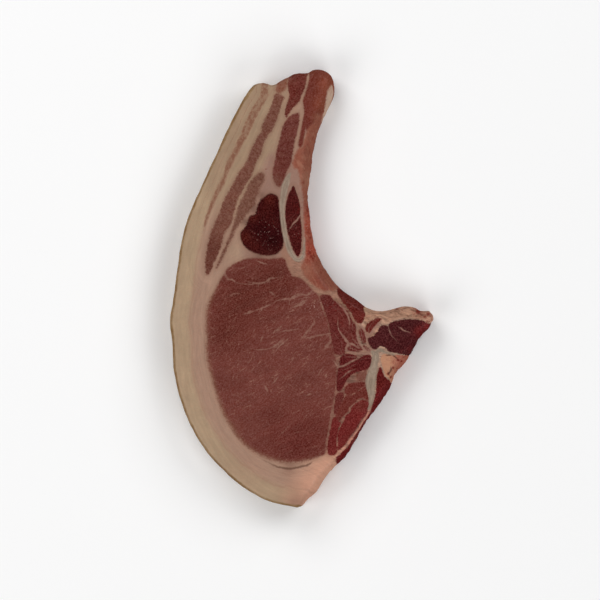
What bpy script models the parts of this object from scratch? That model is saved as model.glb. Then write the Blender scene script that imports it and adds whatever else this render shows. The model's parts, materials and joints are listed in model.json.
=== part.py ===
"""Raw pork chop lying on its lower cut face.

The chop is a slice of loin with its tail (the streaky belly end) at +Y, the rind side at -X
and the sawn chine side at +X.  Three closed bodies share one outline: the lean, the back fat
that wraps it, and a chip of chine bone set in the sawn side.  All lengths below are millimetres;
the bodies are written in metres, +Z up, with the origin under the middle of the bounding box.
"""

import math

import bmesh
import bpy
import numpy as np

MM = 0.001

# Driving dimensions -----------------------------------------------------------------------
THICKNESS = 18.0          # between the two cut faces
SEAM_GAP = 0.3            # clearance between neighbouring bodies
OUTLINE_STEP = 2.3        # spacing of the facets round the outline
FOOT_ROUND = 1.3          # radius of the lower edge
FOOT_LEVELS = 3
SHOULDER_LEVELS = 6       # rings in the rounding between the side and the upper face
SHOULDER_SLOPE = 3.2      # height of that rounding for each millimetre that it leans in
SHOULDER_DROP = 15.0      # and the most it may take of the thickness
LEAST_LEAN_IN = 0.8
SOCKET_STEP = 1.6         # spacing of the facets round the bone's socket
CURVE_STEPS = 24          # fine steps in each span of a curve before it is resampled
LEAN_REACH = 4.0          # how far the lean-in direction is averaged along the outline
FOOT_REACH = 2.3          # and the same for the lower edge
CUTTER_OVER = 5.0         # cutters stand proud of both faces by this
WELD = 0.004              # closer points left by a cut are one point
CREASE = 38.0             # degrees; a sharper bend is shaded as an edge

# Outline of the lower face, clockwise runs joined end to end: x, y and the lean-in of the
# upper face there.  Only bends and corners are named; a curve is run through them.
TAIL_END = (
    (-22.6, 95.3, 1.0), (-17.0, 96.5, 1.2), (-14.3, 95.3, 1.2), (-9.5, 97.6, 1.4),
    (-3.0, 100.7, 1.6), (2.6, 100.9, 1.8), (5.2, 102.4, 2.2), (10.0, 102.4, 3.0),
    (13.6, 100.0, 3.6),
)
BELLY_SIDE = (
    (14.8, 96.8, 4.4), (14.9, 91.0, 5.0), (11.2, 82.6, 5.5), (7.2, 73.0, 5.5),
    (5.0, 64.0, 5.0), (3.4, 51.0, 4.0), (2.5, 44.8, 3.0), (3.3, 37.0, 3.0),
    (4.4, 26.0, 3.2), (7.2, 16.0, 4.2), (12.4, 7.0, 5.5), (17.8, 0.2, 4.5),
    (24.6, -4.5, 3.4), (31.0, -9.0, 2.8), (37.5, -10.4, 2.2),
)
CHINE_TIP = (
    (43.0, -9.3, 2.0), (48.5, -8.2, 2.0), (53.4, -9.0, 2.0), (55.8, -10.6, 1.8),
    (59.8, -10.3, 1.8), (61.6, -13.0, 2.2), (60.3, -17.2, 2.8),
)
SAWN_SIDE = (
    (55.4, -22.5, 3.2), (50.6, -31.0, 3.6), (48.4, -34.9, 4.0), (44.4, -38.8, 3.6),
    (41.8, -45.0, 3.2), (37.9, -51.6, 3.2), (34.8, -55.8, 3.0), (29.6, -63.2, 3.2),
    (24.6, -72.0, 3.2), (19.4, -79.6, 3.2), (15.4, -83.2, 3.4), (10.2, -89.8, 4.2),
    (6.6, -95.6, 4.4), (2.6, -98.8, 3.6),
)
RIND_SIDE = (
    (-0.6, -102.3, 2.2), (-5.0, -101.9, 1.8), (-15.6, -99.5, 1.6), (-26.0, -94.0, 1.6),
    (-36.5, -85.3, 1.6), (-45.0, -76.0, 1.6), (-52.5, -63.5, 1.6), (-57.4, -50.0, 1.6),
    (-60.0, -38.0, 1.6), (-60.8, -24.0, 1.6), (-61.8, -15.0, 1.4), (-60.7, -7.5, 1.6),
    (-58.7, 7.0, 1.6), (-55.6, 26.0, 1.6), (-50.4, 41.0, 1.6), (-41.2, 61.0, 1.4),
    (-30.0, 84.0, 1.2),
)

# Seam between the lean and the back fat, from the tail end round the loin eye to the sawn side
FAT_SEAM = (
    (-10.6, 108.0), (-11.6, 97.0), (-13.6, 87.0), (-19.8, 74.0), (-25.6, 60.0),
    (-33.5, 48.5), (-40.0, 34.5), (-44.6, 20.0), (-45.3, 8.0), (-44.6, -2.0),
    (-45.6, -16.0), (-45.1, -32.0), (-42.8, -46.0), (-36.6, -62.0), (-29.0, -73.0),
    (-19.0, -80.4), (-7.0, -83.7), (3.0, -82.0), (11.5, -78.0), (14.8, -78.6),
    (16.4, -82.6), (19.0, -90.0),
)
# The back fat's cutter closes round the rind side, well clear of the outline
FAT_SURROUND = ((19.0, -115.0), (-75.0, -115.0), (-75.0, 115.0), (-10.6, 115.0))

# Socket of the chine bone chip, open to the sawn side
BONE_SOCKET = (
    (60.0, -31.6), (45.0, -30.7), (38.4, -30.3), (36.9, -31.9), (37.3, -35.2),
    (39.2, -40.4), (41.4, -43.9), (52.0, -49.0),
)

FINISH = {
    "lean": ((0.145, 0.038, 0.030), 0.42),
    "back_fat": ((0.380, 0.262, 0.168), 0.46),
    "chine_bone": ((0.420, 0.235, 0.155), 0.55),
}


def through(points, step, closed):
    """Run a centripetal curve through the points and resample it at an even spacing."""
    rows = np.array(points, dtype=float)
    if closed:
        ring = np.vstack((rows[-1:], rows, rows[:2]))
    else:
        ring = np.vstack((2 * rows[0] - rows[1], rows, 2 * rows[-1] - rows[-2]))
    fine = []
    for index in range(1, len(ring) - 2):
        before, start, end, after = ring[index - 1:index + 3]
        t1 = math.dist(before[:2], start[:2]) ** 0.5
        t2 = t1 + math.dist(start[:2], end[:2]) ** 0.5
        t3 = t2 + math.dist(end[:2], after[:2]) ** 0.5
        for t in np.linspace(t1, t2, CURVE_STEPS, endpoint=False):
            a1 = before * (t1 - t) / t1 + start * t / t1
            a2 = start * (t2 - t) / (t2 - t1) + end * (t - t1) / (t2 - t1)
            a3 = end * (t3 - t) / (t3 - t2) + after * (t - t2) / (t3 - t2)
            b1 = a1 * (t2 - t) / t2 + a2 * t / t2
            b2 = a2 * (t3 - t) / (t3 - t1) + a3 * (t - t1) / (t3 - t1)
            fine.append(b1 * (t2 - t) / (t2 - t1) + b2 * (t - t1) / (t2 - t1))
    fine.append(rows[0] if closed else rows[-1])
    fine = np.array(fine)
    run = np.concatenate(([0.0], np.cumsum(np.linalg.norm(np.diff(fine[:, :2], axis=0), axis=1))))
    count = max(3, round(run[-1] / step))
    at = np.linspace(0.0, run[-1], count + 1)
    even = np.column_stack([np.interp(at, run, fine[:, k]) for k in range(fine.shape[1])])
    return even[:-1] if closed else even


def side_normals(line, closed):
    """Unit normals to the right of the direction of travel."""
    if closed:
        along = np.roll(line, -1, axis=0) - np.roll(line, 1, axis=0)
    else:
        along = np.gradient(line, axis=0)
    along /= np.linalg.norm(along, axis=1)[:, None]
    return np.column_stack((along[:, 1], -along[:, 0]))


def inward(outline, reach):
    """Directions into a clockwise outline, each blended with those within reach along it."""
    facets = reach / OUTLINE_STEP
    spread = int(math.ceil(3 * facets))
    normals = side_normals(outline, True)
    total = np.zeros_like(normals)
    for shift in range(-spread, spread + 1):
        total += np.roll(normals, shift, axis=0) * math.exp(-0.5 * (shift / facets) ** 2)
    return total / np.linalg.norm(total, axis=1)[:, None]


def stack_of_rings(name, rings):
    """Close a stack of equal rings, each an (n, 3) array, into one body."""
    mesh = bpy.data.meshes.new(name)
    shape = bmesh.new()
    loops = []
    for ring in rings:
        verts = [shape.verts.new(tuple(float(v) * MM for v in point)) for point in ring]
        loops.append([shape.edges.new(pair) for pair in zip(verts, verts[1:] + verts[:1])])
    for lower, upper in zip(loops, loops[1:]):
        bmesh.ops.bridge_loops(shape, edges=lower + upper)
    for end in (loops[0], loops[-1]):
        bmesh.ops.contextual_create(shape, geom=end)
    bmesh.ops.recalc_face_normals(shape, faces=shape.faces[:])
    shape.to_mesh(mesh)
    shape.free()
    piece = bpy.data.objects.new(name, mesh)
    bpy.context.collection.objects.link(piece)
    return piece


def chop_blank(name):
    """The whole slice: rounded foot, sides that lean in by their own amount, flat faces."""
    outline = through(TAIL_END + BELLY_SIDE + CHINE_TIP + SAWN_SIDE + RIND_SIDE, OUTLINE_STEP, True)
    flat = outline[:, :2]
    lean_in = np.clip(outline[:, 2], LEAST_LEAN_IN, None)
    drop = np.minimum(SHOULDER_DROP, SHOULDER_SLOPE * lean_in)
    foot_in = inward(flat, FOOT_REACH)
    shoulder_in = inward(flat, LEAN_REACH)
    rings = []
    for level in range(FOOT_LEVELS):
        turn = 0.5 * math.pi * level / FOOT_LEVELS
        inset = FOOT_ROUND * (1.0 - math.sin(turn))
        height = FOOT_ROUND * (1.0 - math.cos(turn))
        ring = flat + foot_in * inset
        rings.append(np.column_stack((ring, np.full(len(ring), height))))
    for level in range(SHOULDER_LEVELS + 1):
        turn = 0.5 * math.pi * level / SHOULDER_LEVELS
        ring = flat + shoulder_in * (lean_in * (1.0 - math.cos(turn)))[:, None]
        height = THICKNESS - drop * (1.0 - math.sin(turn))
        rings.append(np.column_stack((ring, height)))
    return stack_of_rings(name, rings)


def prism(name, outline):
    """An upright block on a closed outline, standing proud of both faces of the chop."""
    low = np.column_stack((outline, np.full(len(outline), -CUTTER_OVER)))
    high = np.column_stack((outline, np.full(len(outline), THICKNESS + CUTTER_OVER)))
    return stack_of_rings(name, (low, high))


def fat_block(name, clearance):
    """Cutter over the back fat; the clearance moves its seam face towards the lean."""
    seam = through(FAT_SEAM, OUTLINE_STEP, False)
    seam = seam - side_normals(seam, False) * clearance
    return prism(name, np.vstack((seam, np.array(FAT_SURROUND))))


def bone_block(name, clearance):
    """Cutter over the bone chip; the clearance widens the socket."""
    socket = through(BONE_SOCKET, SOCKET_STEP, False)
    return prism(name, socket + side_normals(socket, False) * clearance)


def carve(name, cuts):
    """Cut a fresh blank by (operation, cutter) pairs and keep the result as a plain mesh."""
    piece = chop_blank(name)
    for number, (operation, cutter) in enumerate(cuts):
        step = piece.modifiers.new("cut_%d" % number, "BOOLEAN")
        step.operation = operation
        step.solver = "EXACT"
        step.object = cutter
    graph = bpy.context.evaluated_depsgraph_get()
    mesh = bpy.data.meshes.new_from_object(piece.evaluated_get(graph))
    piece.modifiers.clear()
    shape = bmesh.new()
    shape.from_mesh(mesh)
    bmesh.ops.remove_doubles(shape, verts=shape.verts[:], dist=WELD * MM)
    bmesh.ops.recalc_face_normals(shape, faces=shape.faces[:])
    shape.to_mesh(mesh)
    shape.free()
    mesh.name = name
    for face in mesh.polygons:
        face.use_smooth = True
    mesh.set_sharp_from_angle(angle=math.radians(CREASE))
    piece.data = mesh
    for _, cutter in cuts:
        bpy.data.objects.remove(cutter, do_unlink=True)
    return piece


def finish(piece):
    """Give a body its own plain material."""
    colour, roughness = FINISH[piece.name]
    material = bpy.data.materials.new(piece.name + "_finish")
    material.use_nodes = True
    shader = material.node_tree.nodes["Principled BSDF"]
    shader.inputs["Base Color"].default_value = (*colour, 1.0)
    shader.inputs["Roughness"].default_value = roughness
    material.diffuse_color = (*colour, 1.0)
    piece.data.materials.clear()
    piece.data.materials.append(material)


def centre(pieces):
    """Bring the origin under the middle of the bounding box of all the bodies."""
    points = np.array([tuple(v.co) for piece in pieces for v in piece.data.vertices])
    low, high = points.min(axis=0), points.max(axis=0)
    shift = np.array((-(low[0] + high[0]) / 2, -(low[1] + high[1]) / 2, -low[2]))
    for piece in pieces:
        for vertex in piece.data.vertices:
            vertex.co = tuple(np.array(tuple(vertex.co)) + shift)
        piece.data.update()


def build():
    """Make the three bodies of the chop."""
    for old in list(bpy.data.objects):
        bpy.data.objects.remove(old, do_unlink=True)
    half = SEAM_GAP / 2
    lean = carve("lean", (
        ("DIFFERENCE", fat_block("fat_cut_lean", half)),
        ("DIFFERENCE", bone_block("bone_cut_lean", SEAM_GAP)),
    ))
    back_fat = carve("back_fat", (("INTERSECT", fat_block("fat_keep", -half)),))
    chine_bone = carve("chine_bone", (("INTERSECT", bone_block("bone_keep", 0.0)),))
    pieces = (lean, back_fat, chine_bone)
    centre(pieces)
    for piece in pieces:
        finish(piece)


build()
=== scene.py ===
"""Looks of a raw pork chop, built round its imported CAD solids.

The lean, the back fat and the chip of chine bone are each remade as a fine mesh with their own
relief, and coloured from a butcher's drawing of the cut face: which muscle lies where, where
silverskin, seam fat and fine threads of fat run, and where the rind and the belly membrane are.
The drawing is in millimetres on the chop's plan and the muscles run through the slice, so the
sides and the lower face are dressed from the same drawing.
"""

from __future__ import annotations

import json
import logging
import math
from dataclasses import dataclass, field
from enum import Enum
from typing import Iterable, Sequence

import bmesh
import bpy
import numpy as np
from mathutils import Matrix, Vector, noise
from mathutils.bvhtree import BVHTree

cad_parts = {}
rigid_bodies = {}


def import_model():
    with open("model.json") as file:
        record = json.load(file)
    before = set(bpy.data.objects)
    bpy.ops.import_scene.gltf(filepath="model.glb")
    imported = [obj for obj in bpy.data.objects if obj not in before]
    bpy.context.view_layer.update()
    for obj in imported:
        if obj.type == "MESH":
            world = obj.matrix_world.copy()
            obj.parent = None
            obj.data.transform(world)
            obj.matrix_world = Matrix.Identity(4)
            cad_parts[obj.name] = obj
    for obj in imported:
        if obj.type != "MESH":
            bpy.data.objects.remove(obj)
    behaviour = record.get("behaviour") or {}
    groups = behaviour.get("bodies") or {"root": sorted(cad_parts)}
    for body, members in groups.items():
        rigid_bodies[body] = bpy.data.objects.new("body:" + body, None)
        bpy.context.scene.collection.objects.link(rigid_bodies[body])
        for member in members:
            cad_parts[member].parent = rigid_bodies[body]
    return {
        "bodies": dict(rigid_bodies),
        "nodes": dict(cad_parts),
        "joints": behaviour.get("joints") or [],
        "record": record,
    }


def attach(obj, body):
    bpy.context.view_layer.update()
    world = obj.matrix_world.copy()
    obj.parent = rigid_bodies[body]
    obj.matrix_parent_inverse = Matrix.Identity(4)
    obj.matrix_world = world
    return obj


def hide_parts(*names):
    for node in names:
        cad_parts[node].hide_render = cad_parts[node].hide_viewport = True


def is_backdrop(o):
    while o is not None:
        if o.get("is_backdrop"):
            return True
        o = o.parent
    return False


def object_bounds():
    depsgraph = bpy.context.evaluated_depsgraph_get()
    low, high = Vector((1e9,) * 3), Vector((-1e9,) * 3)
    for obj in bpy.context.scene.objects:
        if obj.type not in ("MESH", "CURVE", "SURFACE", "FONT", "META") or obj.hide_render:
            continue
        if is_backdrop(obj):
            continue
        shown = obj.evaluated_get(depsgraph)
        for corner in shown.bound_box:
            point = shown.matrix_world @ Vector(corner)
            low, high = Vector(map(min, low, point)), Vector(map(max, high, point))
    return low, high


log = logging.getLogger("pork_chop")

MM = 0.001
DRAWING_TO_FRAME = (0.106, -0.114)   # millimetres from the drawing's origin to the frame's
CURVE_STEP = 0.7                     # spacing of points on a drawn line, in millimetres
CURVE_PARTS = 12                     # parts in each span before the line is respaced
FAR = 9.0                            # distances are kept only up to this, in millimetres
LITTLE = 1e-9
SAME_PLACE = 0.01                    # points closer than this are one, in millimetres
TOUCHING = 0.45                      # walls closer than this meet, in millimetres
DRIFT = 1.3                          # how far muscles drift down the slice, in millimetres
DRIFT_LENGTH = 17.0                  # distance over which that drift changes
SEPTUM_DEPTH = 8.8                   # of the pink layer in the back fat, under the rind
FILM_IOR = 1.3                       # of the wet film over the flesh
BLEED_REACH = 0.6                    # how far light scatters in the flesh, in millimetres
BUMP_STRENGTH = 0.8
PALE_GREEN = 0.044                   # green of a lean that shows its grain in full
GRAIN_SHADE = np.array((0.046, 0.030, 0.027))
GRAIN_LIGHT = np.array((0.16, 0.088, 0.078))

Point = tuple[float, float]
Bead = tuple[float, float, float]


def linear(code: str) -> np.ndarray:
    """Turn a six-digit display colour into linear red, green and blue.

    Args:
        code: Hexadecimal digits, such as "6d3b34".

    Returns:
        The three linear values.
    """
    shown = np.array([int(code[i:i + 2], 16) for i in (0, 2, 4)]) / 255.0
    return np.where(shown <= 0.04045, shown / 12.92, ((shown + 0.055) / 1.055) ** 2.4)


class Tissue(Enum):
    """Tones of the tissues that the cut shows."""

    EYE = "6e3e37"
    EYE_UPPER = "5e2f28"
    EYE_LOWER = "63302b"
    EYE_EDGE = "86624f"
    DARK = "360e0f"
    DARK_RED = "4e1d18"
    DARKEST = "270809"
    RIB = "481817"
    STREAK = "6c4439"
    STREAK_LOW = "5b332b"
    STREAK_PALE = "6c483c"
    BELLY = "64302a"
    BELLY_LOWER = "673832"
    FLANK = "6b372f"
    FLANK_SIDE = "874b3a"
    FAN = "64302c"
    PILLAR = "632924"
    CHINE = "4a2021"
    CHINE_RED = "5a2221"
    WALL_RED = "641f1f"
    TIP_RED = "7c2c2b"
    MULTI = "68332d"
    MULTI_RED = "6d2a28"
    GREY_LEAN = "70463c"
    TAIL_BROWN = "7a4c3c"
    OUTER_FAT = "a98f75"
    INNER_FAT = "a48370"
    SEAM_FAT = "967466"
    TAIL_FAT = "a0856d"
    PINK_FAT = "c7957d"
    RIM_FAT = "bd8270"
    CHINE_FAT = "a67e68"
    FAN_FAT = "84604f"
    MULTI_FAT = "80594c"
    BAY_FAT = "98705e"
    SILVER = "a18e7d"
    SILVER_DIM = "857465"
    THREAD = "936e60"
    STRAND = "835947"
    SEPTUM = "9b7663"
    MEMBRANE = "8a5242"
    MEMBRANE_PALE = "a4745f"
    MEMBRANE_RED = "a64d3c"
    MEMBRANE_WHITE = "c4a793"
    FRINGE = "75564a"
    BAY_RED = "7e4034"
    RIND = "80613f"
    RIND_PALE = "9c8060"
    BLOOD = "6a140e"
    BONE = "b68468"
    BONE_PINK = "a05e4d"
    BONE_FLUSH = "a8705c"
    # painted shade: the dark laid in the bone's sunk cracks
    SHADE_PAINTED_BONE_CRACK = "44201b"
    MARROW = "85392c"
    # painted shade: the dark laid in the crease's sunk groove
    SHADE_PAINTED_CREASE = "5a3b2f"
    FLECK = "946a5c"
    LARD = "8c6656"
    MEMBRANE_DARK = "6f2a1e"
    RIND_PORE = "523b27"
    RIND_WRINKLE = "6a4f33"
    # painted highlight: the pale colour of tiny glints of the wet surface
    PAINTED_GLINT = "bd9488"
    STAINED_FAT = "8b6756"

    @property
    def colour(self) -> np.ndarray:
        """The tone as linear red, green and blue."""
        return linear(self.value)


@dataclass(frozen=True)
class Muscle:
    """One muscle on the cut face.

    Attributes:
        name: What a butcher would call it.
        tissue: Its tone.
        outline: Corners of its closed, flowing outline.
        blur: Half the width over which its edge fades into the fat, in millimetres.
        swell: How far it fills out beyond its outline, in millimetres.
        larded: How much fine fat grows through it, from 0 to 1.
    """

    name: str
    tissue: Tissue
    outline: tuple[Point, ...]
    blur: float = 0.35
    swell: float = 0.0
    larded: float = 0.02


@dataclass(frozen=True)
class Thread:
    """A line of tissue that lies in the cut face: a vein of fat, silverskin or a crease.

    Attributes:
        name: What it is.
        beads: Points along it, each with the half width there.
    """

    name: str
    beads: tuple[Bead, ...]


MUSCLES = (
    Muscle("loin_eye", Tissue.EYE, (
        (-36.5, 6.8), (-34.9, 9.4), (-32.6, 11.2), (-29.0, 13.1), (-26.0, 14.2), (-21.0, 14.4),
        (-16.0, 14.1), (-11.5, 14.4), (-9.2, 14.6), (-7.6, 13.2), (-7.0, 11.0), (-5.6, 8.0),
        (-4.4, 6.0), (-1.5, 5.4), (0.5, 4.2), (2.5, 2.2), (5.0, -0.5), (7.0, -2.2), (8.2, -4.5),
        (9.3, -8.5), (10.8, -12.0), (12.2, -16.0), (12.8, -20.5), (13.6, -24.0), (14.6, -29.0),
        (15.8, -33.5), (16.2, -38.0), (16.1, -43.0), (15.6, -48.0), (14.7, -53.0), (13.6, -58.0),
        (12.9, -63.0), (12.0, -68.0), (11.3, -72.0), (11.0, -76.6), (8.0, -78.4), (4.0, -79.6),
        (-1.0, -80.8), (-6.0, -81.2), (-11.0, -80.6), (-16.0, -79.2), (-21.0, -77.0),
        (-26.0, -73.6), (-30.5, -68.8), (-33.5, -64.3), (-36.5, -59.0), (-39.0, -53.0),
        (-40.8, -47.0), (-42.4, -41.0), (-44.0, -35.0), (-44.7, -29.0), (-44.6, -22.0),
        (-44.8, -15.0), (-44.3, -9.0), (-43.2, -5.5), (-41.8, -2.5), (-40.2, 0.2), (-38.6, 3.6),
    ), 0.6),
    Muscle("dark_round", Tissue.DARK, (
        (-14.5, 44.4), (-12.2, 43.4), (-11.3, 42.2), (-11.0, 39.0), (-10.6, 35.0), (-10.2, 31.0),
        (-9.7, 27.0), (-8.9, 23.2), (-9.2, 20.0), (-10.6, 17.8), (-13.0, 16.3), (-17.0, 15.9),
        (-20.5, 16.7), (-24.0, 18.0), (-26.5, 20.0), (-28.2, 23.0), (-28.5, 26.0), (-26.6, 28.5),
        (-25.2, 31.0), (-24.4, 33.6), (-22.8, 34.2), (-21.6, 35.0), (-20.8, 38.0),
        (-19.6, 40.8), (-17.2, 43.0),
    ), 0.5, swell=0.35, larded=0.0),
    Muscle("rib_spindle", Tissue.RIB, (
        (-3.9, 48.5), (-3.0, 46.0), (-1.8, 43.0), (-1.0, 39.5), (-0.8, 36.0), (-0.7, 33.5),
        (-0.2, 29.0), (-0.1, 25.0), (-0.2, 21.0), (-0.6, 17.5), (-1.8, 15.2), (-3.2, 16.4),
        (-4.6, 19.4), (-5.8, 23.0), (-6.8, 27.0), (-7.6, 31.5), (-7.9, 35.5), (-7.5, 39.5),
        (-6.6, 43.5), (-5.2, 46.4),
    ), 0.25),
    Muscle("outer_streak_head", Tissue.TAIL_BROWN, (
        (-11.4, 99.0), (-11.6, 95.6), (-12.4, 92.6), (-10.4, 91.6), (-8.8, 92.4), (-7.5, 93.6),
        (-6.9, 96.0), (-6.6, 99.5),
    ), 0.8, larded=0.4),
    Muscle("outer_streak", Tissue.STREAK, (
        (-12.6, 91.2), (-11.2, 91.4), (-9.4, 90.4), (-8.2, 89.6), (-9.4, 87.0), (-10.3, 84.0),
        (-11.2, 80.5), (-12.6, 77.0), (-14.2, 73.8), (-16.8, 70.0), (-18.2, 66.8), (-19.4, 62.5),
        (-21.6, 58.8), (-22.4, 55.8), (-23.8, 52.4), (-26.0, 49.2), (-28.4, 45.0), (-30.4, 40.8),
        (-31.4, 37.0), (-32.6, 32.6), (-33.6, 29.4), (-36.4, 26.0), (-37.2, 22.0), (-39.0, 16.8),
        (-41.2, 12.2), (-42.7, 8.2), (-44.2, 6.4), (-45.2, 9.4), (-45.0, 15.0), (-44.2, 20.0),
        (-42.8, 26.0), (-40.6, 31.0), (-38.8, 35.4), (-37.0, 40.0), (-34.8, 45.0), (-32.2, 49.2),
        (-30.0, 53.6), (-27.4, 57.2), (-25.4, 60.4), (-24.2, 64.4), (-22.2, 68.2), (-20.3, 72.0),
        (-18.9, 73.2), (-19.0, 75.6), (-17.4, 79.0), (-15.8, 82.4), (-14.3, 86.2),
    ), 0.5, larded=0.42),
    Muscle("inner_streak", Tissue.STREAK_PALE, (
        (-19.0, 54.6), (-17.4, 52.8), (-18.0, 50.4), (-19.2, 47.8), (-20.2, 45.2), (-21.4, 42.0),
        (-22.4, 38.8), (-24.6, 36.6), (-26.4, 34.0), (-28.6, 31.0), (-31.0, 28.0), (-32.2, 24.8),
        (-34.2, 20.8), (-36.0, 16.6), (-38.0, 12.8), (-40.2, 9.6), (-39.6, 12.2), (-38.0, 15.0),
        (-36.6, 18.6), (-35.0, 22.4), (-33.6, 25.6), (-32.6, 28.4), (-31.6, 31.8), (-30.6, 35.2),
        (-29.8, 38.2), (-28.4, 41.8), (-26.4, 45.4), (-25.2, 48.6), (-23.4, 51.2), (-21.0, 53.6),
    ), 0.6, larded=0.5),
    Muscle("belly_upper", Tissue.BELLY, (
        (-4.0, 103.0), (2.8, 103.0), (2.3, 98.5), (1.6, 95.0), (0.2, 91.5), (-0.9, 88.2),
        (-2.4, 86.3), (-4.6, 84.2), (-6.2, 81.6), (-7.3, 79.9), (-8.0, 82.2), (-7.5, 85.0),
        (-6.6, 88.0), (-6.0, 90.6), (-6.6, 94.0), (-6.6, 97.5), (-5.8, 100.5),
    ), larded=0.15),
    Muscle("belly_lower", Tissue.BELLY_LOWER, (
        (-1.6, 82.2), (-1.1, 80.0), (-1.3, 77.5), (-2.0, 74.5), (-2.7, 71.5), (-3.6, 68.0),
        (-4.0, 65.0), (-4.6, 61.5), (-5.2, 58.5), (-6.0, 56.8), (-7.2, 54.6), (-8.0, 52.0),
        (-9.2, 49.4), (-10.6, 47.7), (-12.0, 48.4), (-13.2, 50.5), (-13.8, 53.0), (-13.6, 56.0),
        (-13.0, 58.5), (-12.3, 62.0), (-11.8, 65.0), (-11.0, 68.0), (-10.2, 71.0), (-9.6, 74.0),
        (-8.6, 77.0), (-7.4, 79.0), (-6.0, 80.6), (-4.2, 81.6),
    ), 0.5, larded=0.15),
    Muscle("flank", Tissue.FLANK, (
        (4.2, 106.0), (18.0, 106.0), (17.4, 98.0), (16.6, 91.0), (13.6, 86.0), (10.0, 81.4),
        (6.4, 77.6), (3.8, 75.2), (1.8, 73.6), (1.0, 71.0), (0.6, 68.0), (-0.6, 66.0),
        (-1.8, 67.0), (-1.3, 70.5), (-0.6, 74.0), (0.1, 77.5), (0.8, 81.0), (0.9, 84.5),
        (0.4, 87.5), (1.3, 91.0), (2.6, 95.0), (3.4, 99.0),
    ), 0.5),
    Muscle("pillar", Tissue.PILLAR, (
        (16.4, -1.4), (17.0, 2.0), (24.0, -2.0), (30.0, -6.4), (28.9, -9.0), (29.7, -11.5),
        (29.0, -14.0), (28.0, -16.2), (25.5, -15.8), (24.2, -14.0), (23.0, -11.5), (21.0, -8.8),
        (18.8, -6.0), (16.9, -3.4),
    )),
    Muscle("fan", Tissue.FAN, (
        (8.6, -3.8), (10.0, -2.9), (13.0, -3.3), (14.6, -5.3), (17.0, -6.8), (19.5, -9.0),
        (21.8, -12.0), (23.2, -15.0), (24.8, -17.0), (25.0, -20.0), (25.6, -23.0), (26.6, -26.0),
        (28.0, -28.6), (24.5, -29.2), (21.0, -28.6), (19.4, -30.2), (15.4, -30.0), (14.3, -26.0),
        (13.6, -22.0), (12.9, -17.0), (11.6, -12.5), (10.0, -8.0),
    ), 0.4, swell=0.35),
    Muscle("fan_tip", Tissue.FAN, (
        (27.2, -18.2), (28.8, -19.8), (29.6, -22.6), (29.8, -25.0), (28.6, -25.2), (27.4, -22.8),
        (26.8, -20.4),
    ), swell=0.2),
    Muscle("fan_slip", Tissue.FAN, (
        (29.0, -26.2), (30.6, -27.6), (32.0, -28.8), (30.4, -28.8), (28.8, -27.8),
    ), swell=0.2),
    Muscle("bud", Tissue.PILLAR, (
        (30.2, -17.0), (32.2, -15.4), (34.4, -14.0), (37.0, -13.8), (35.6, -15.6), (33.6, -17.6),
        (31.8, -20.2), (30.2, -19.6),
    ), 0.3, swell=0.3),
    Muscle("chine", Tissue.CHINE, (
        (30.8, -24.6), (31.0, -22.8), (33.5, -21.8), (35.0, -20.0), (36.4, -17.6), (38.4, -16.8),
        (40.2, -17.4), (41.2, -15.7), (43.0, -14.9), (46.0, -14.4), (50.0, -14.2), (54.0, -14.3),
        (56.6, -14.8), (58.6, -16.0), (62.5, -18.0), (57.0, -26.0), (53.0, -32.0),
        (48.5, -31.0), (45.0, -30.2), (42.0, -29.6), (40.0, -28.9), (38.2, -27.2), (36.5, -26.6),
        (35.2, -28.0), (33.6, -28.4), (31.8, -26.8),
    ), 0.3),
    Muscle("multi_top", Tissue.CHINE_RED, (
        (19.4, -31.0), (21.5, -30.5), (24.6, -31.2), (25.6, -31.8), (23.6, -33.2), (20.8, -34.8),
        (18.4, -35.8), (17.6, -33.8),
    ), 0.3, swell=0.35),
    Muscle("multi_big", Tissue.CHINE_RED, (
        (31.8, -31.0), (32.4, -33.5), (31.8, -36.0), (30.5, -37.4), (28.5, -37.8), (26.0, -38.6),
        (23.6, -39.4), (21.8, -41.0), (20.3, -43.0), (19.3, -45.2), (18.2, -46.9), (16.7, -47.6),
        (16.5, -44.0), (16.8, -40.0), (17.4, -37.4), (20.0, -36.5), (23.2, -34.6), (26.5, -32.9),
        (29.5, -31.2),
    ), 0.3, swell=0.35),
    Muscle("multi_grey", Tissue.GREY_LEAN, (
        (26.4, -39.8), (28.6, -39.0), (30.2, -39.6), (29.6, -41.8), (27.5, -42.4), (25.6, -41.4),
    ), 0.4, swell=0.5, larded=0.4),
    Muscle("multi_mid", Tissue.MULTI, (
        (21.6, -44.9), (25.0, -44.0), (28.2, -43.7), (29.4, -44.6), (27.2, -46.4), (24.7, -48.0),
        (22.3, -49.2), (20.7, -48.8), (20.2, -47.0), (20.6, -45.6),
    ), 0.3, swell=0.35),
    Muscle("multi_strip", Tissue.MULTI, (
        (29.7, -46.0), (30.6, -48.4), (31.6, -51.0), (30.8, -51.9), (28.4, -50.6), (26.0, -51.4),
        (24.2, -53.2), (21.9, -55.2), (21.3, -57.0), (19.2, -58.9), (17.6, -61.4), (16.2, -60.6),
        (16.2, -58.2), (17.6, -55.4), (19.2, -52.6), (20.6, -50.4), (22.8, -50.1), (25.6, -48.7),
        (28.0, -46.9),
    ), 0.3, swell=0.35),
    Muscle("multi_sliver", Tissue.FAN, (
        (16.6, -49.3), (18.7, -48.5), (19.2, -50.0), (18.2, -53.4), (16.6, -56.2), (15.4, -58.4),
        (15.3, -55.0), (15.9, -51.8),
    ), 0.3, swell=0.35),
    Muscle("multi_red", Tissue.MULTI_RED, (
        (28.4, -52.2), (31.2, -53.3), (31.0, -55.0), (29.6, -58.3), (27.4, -61.2), (25.8, -63.8),
        (23.6, -67.3), (21.6, -69.9), (20.0, -72.4), (18.2, -74.2), (17.0, -74.8), (17.1, -71.0),
        (17.2, -67.7), (18.1, -64.8), (19.8, -62.0), (20.9, -59.2), (22.9, -57.8), (23.6, -55.4),
        (26.0, -53.3),
    ), 0.3, swell=0.35),
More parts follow.
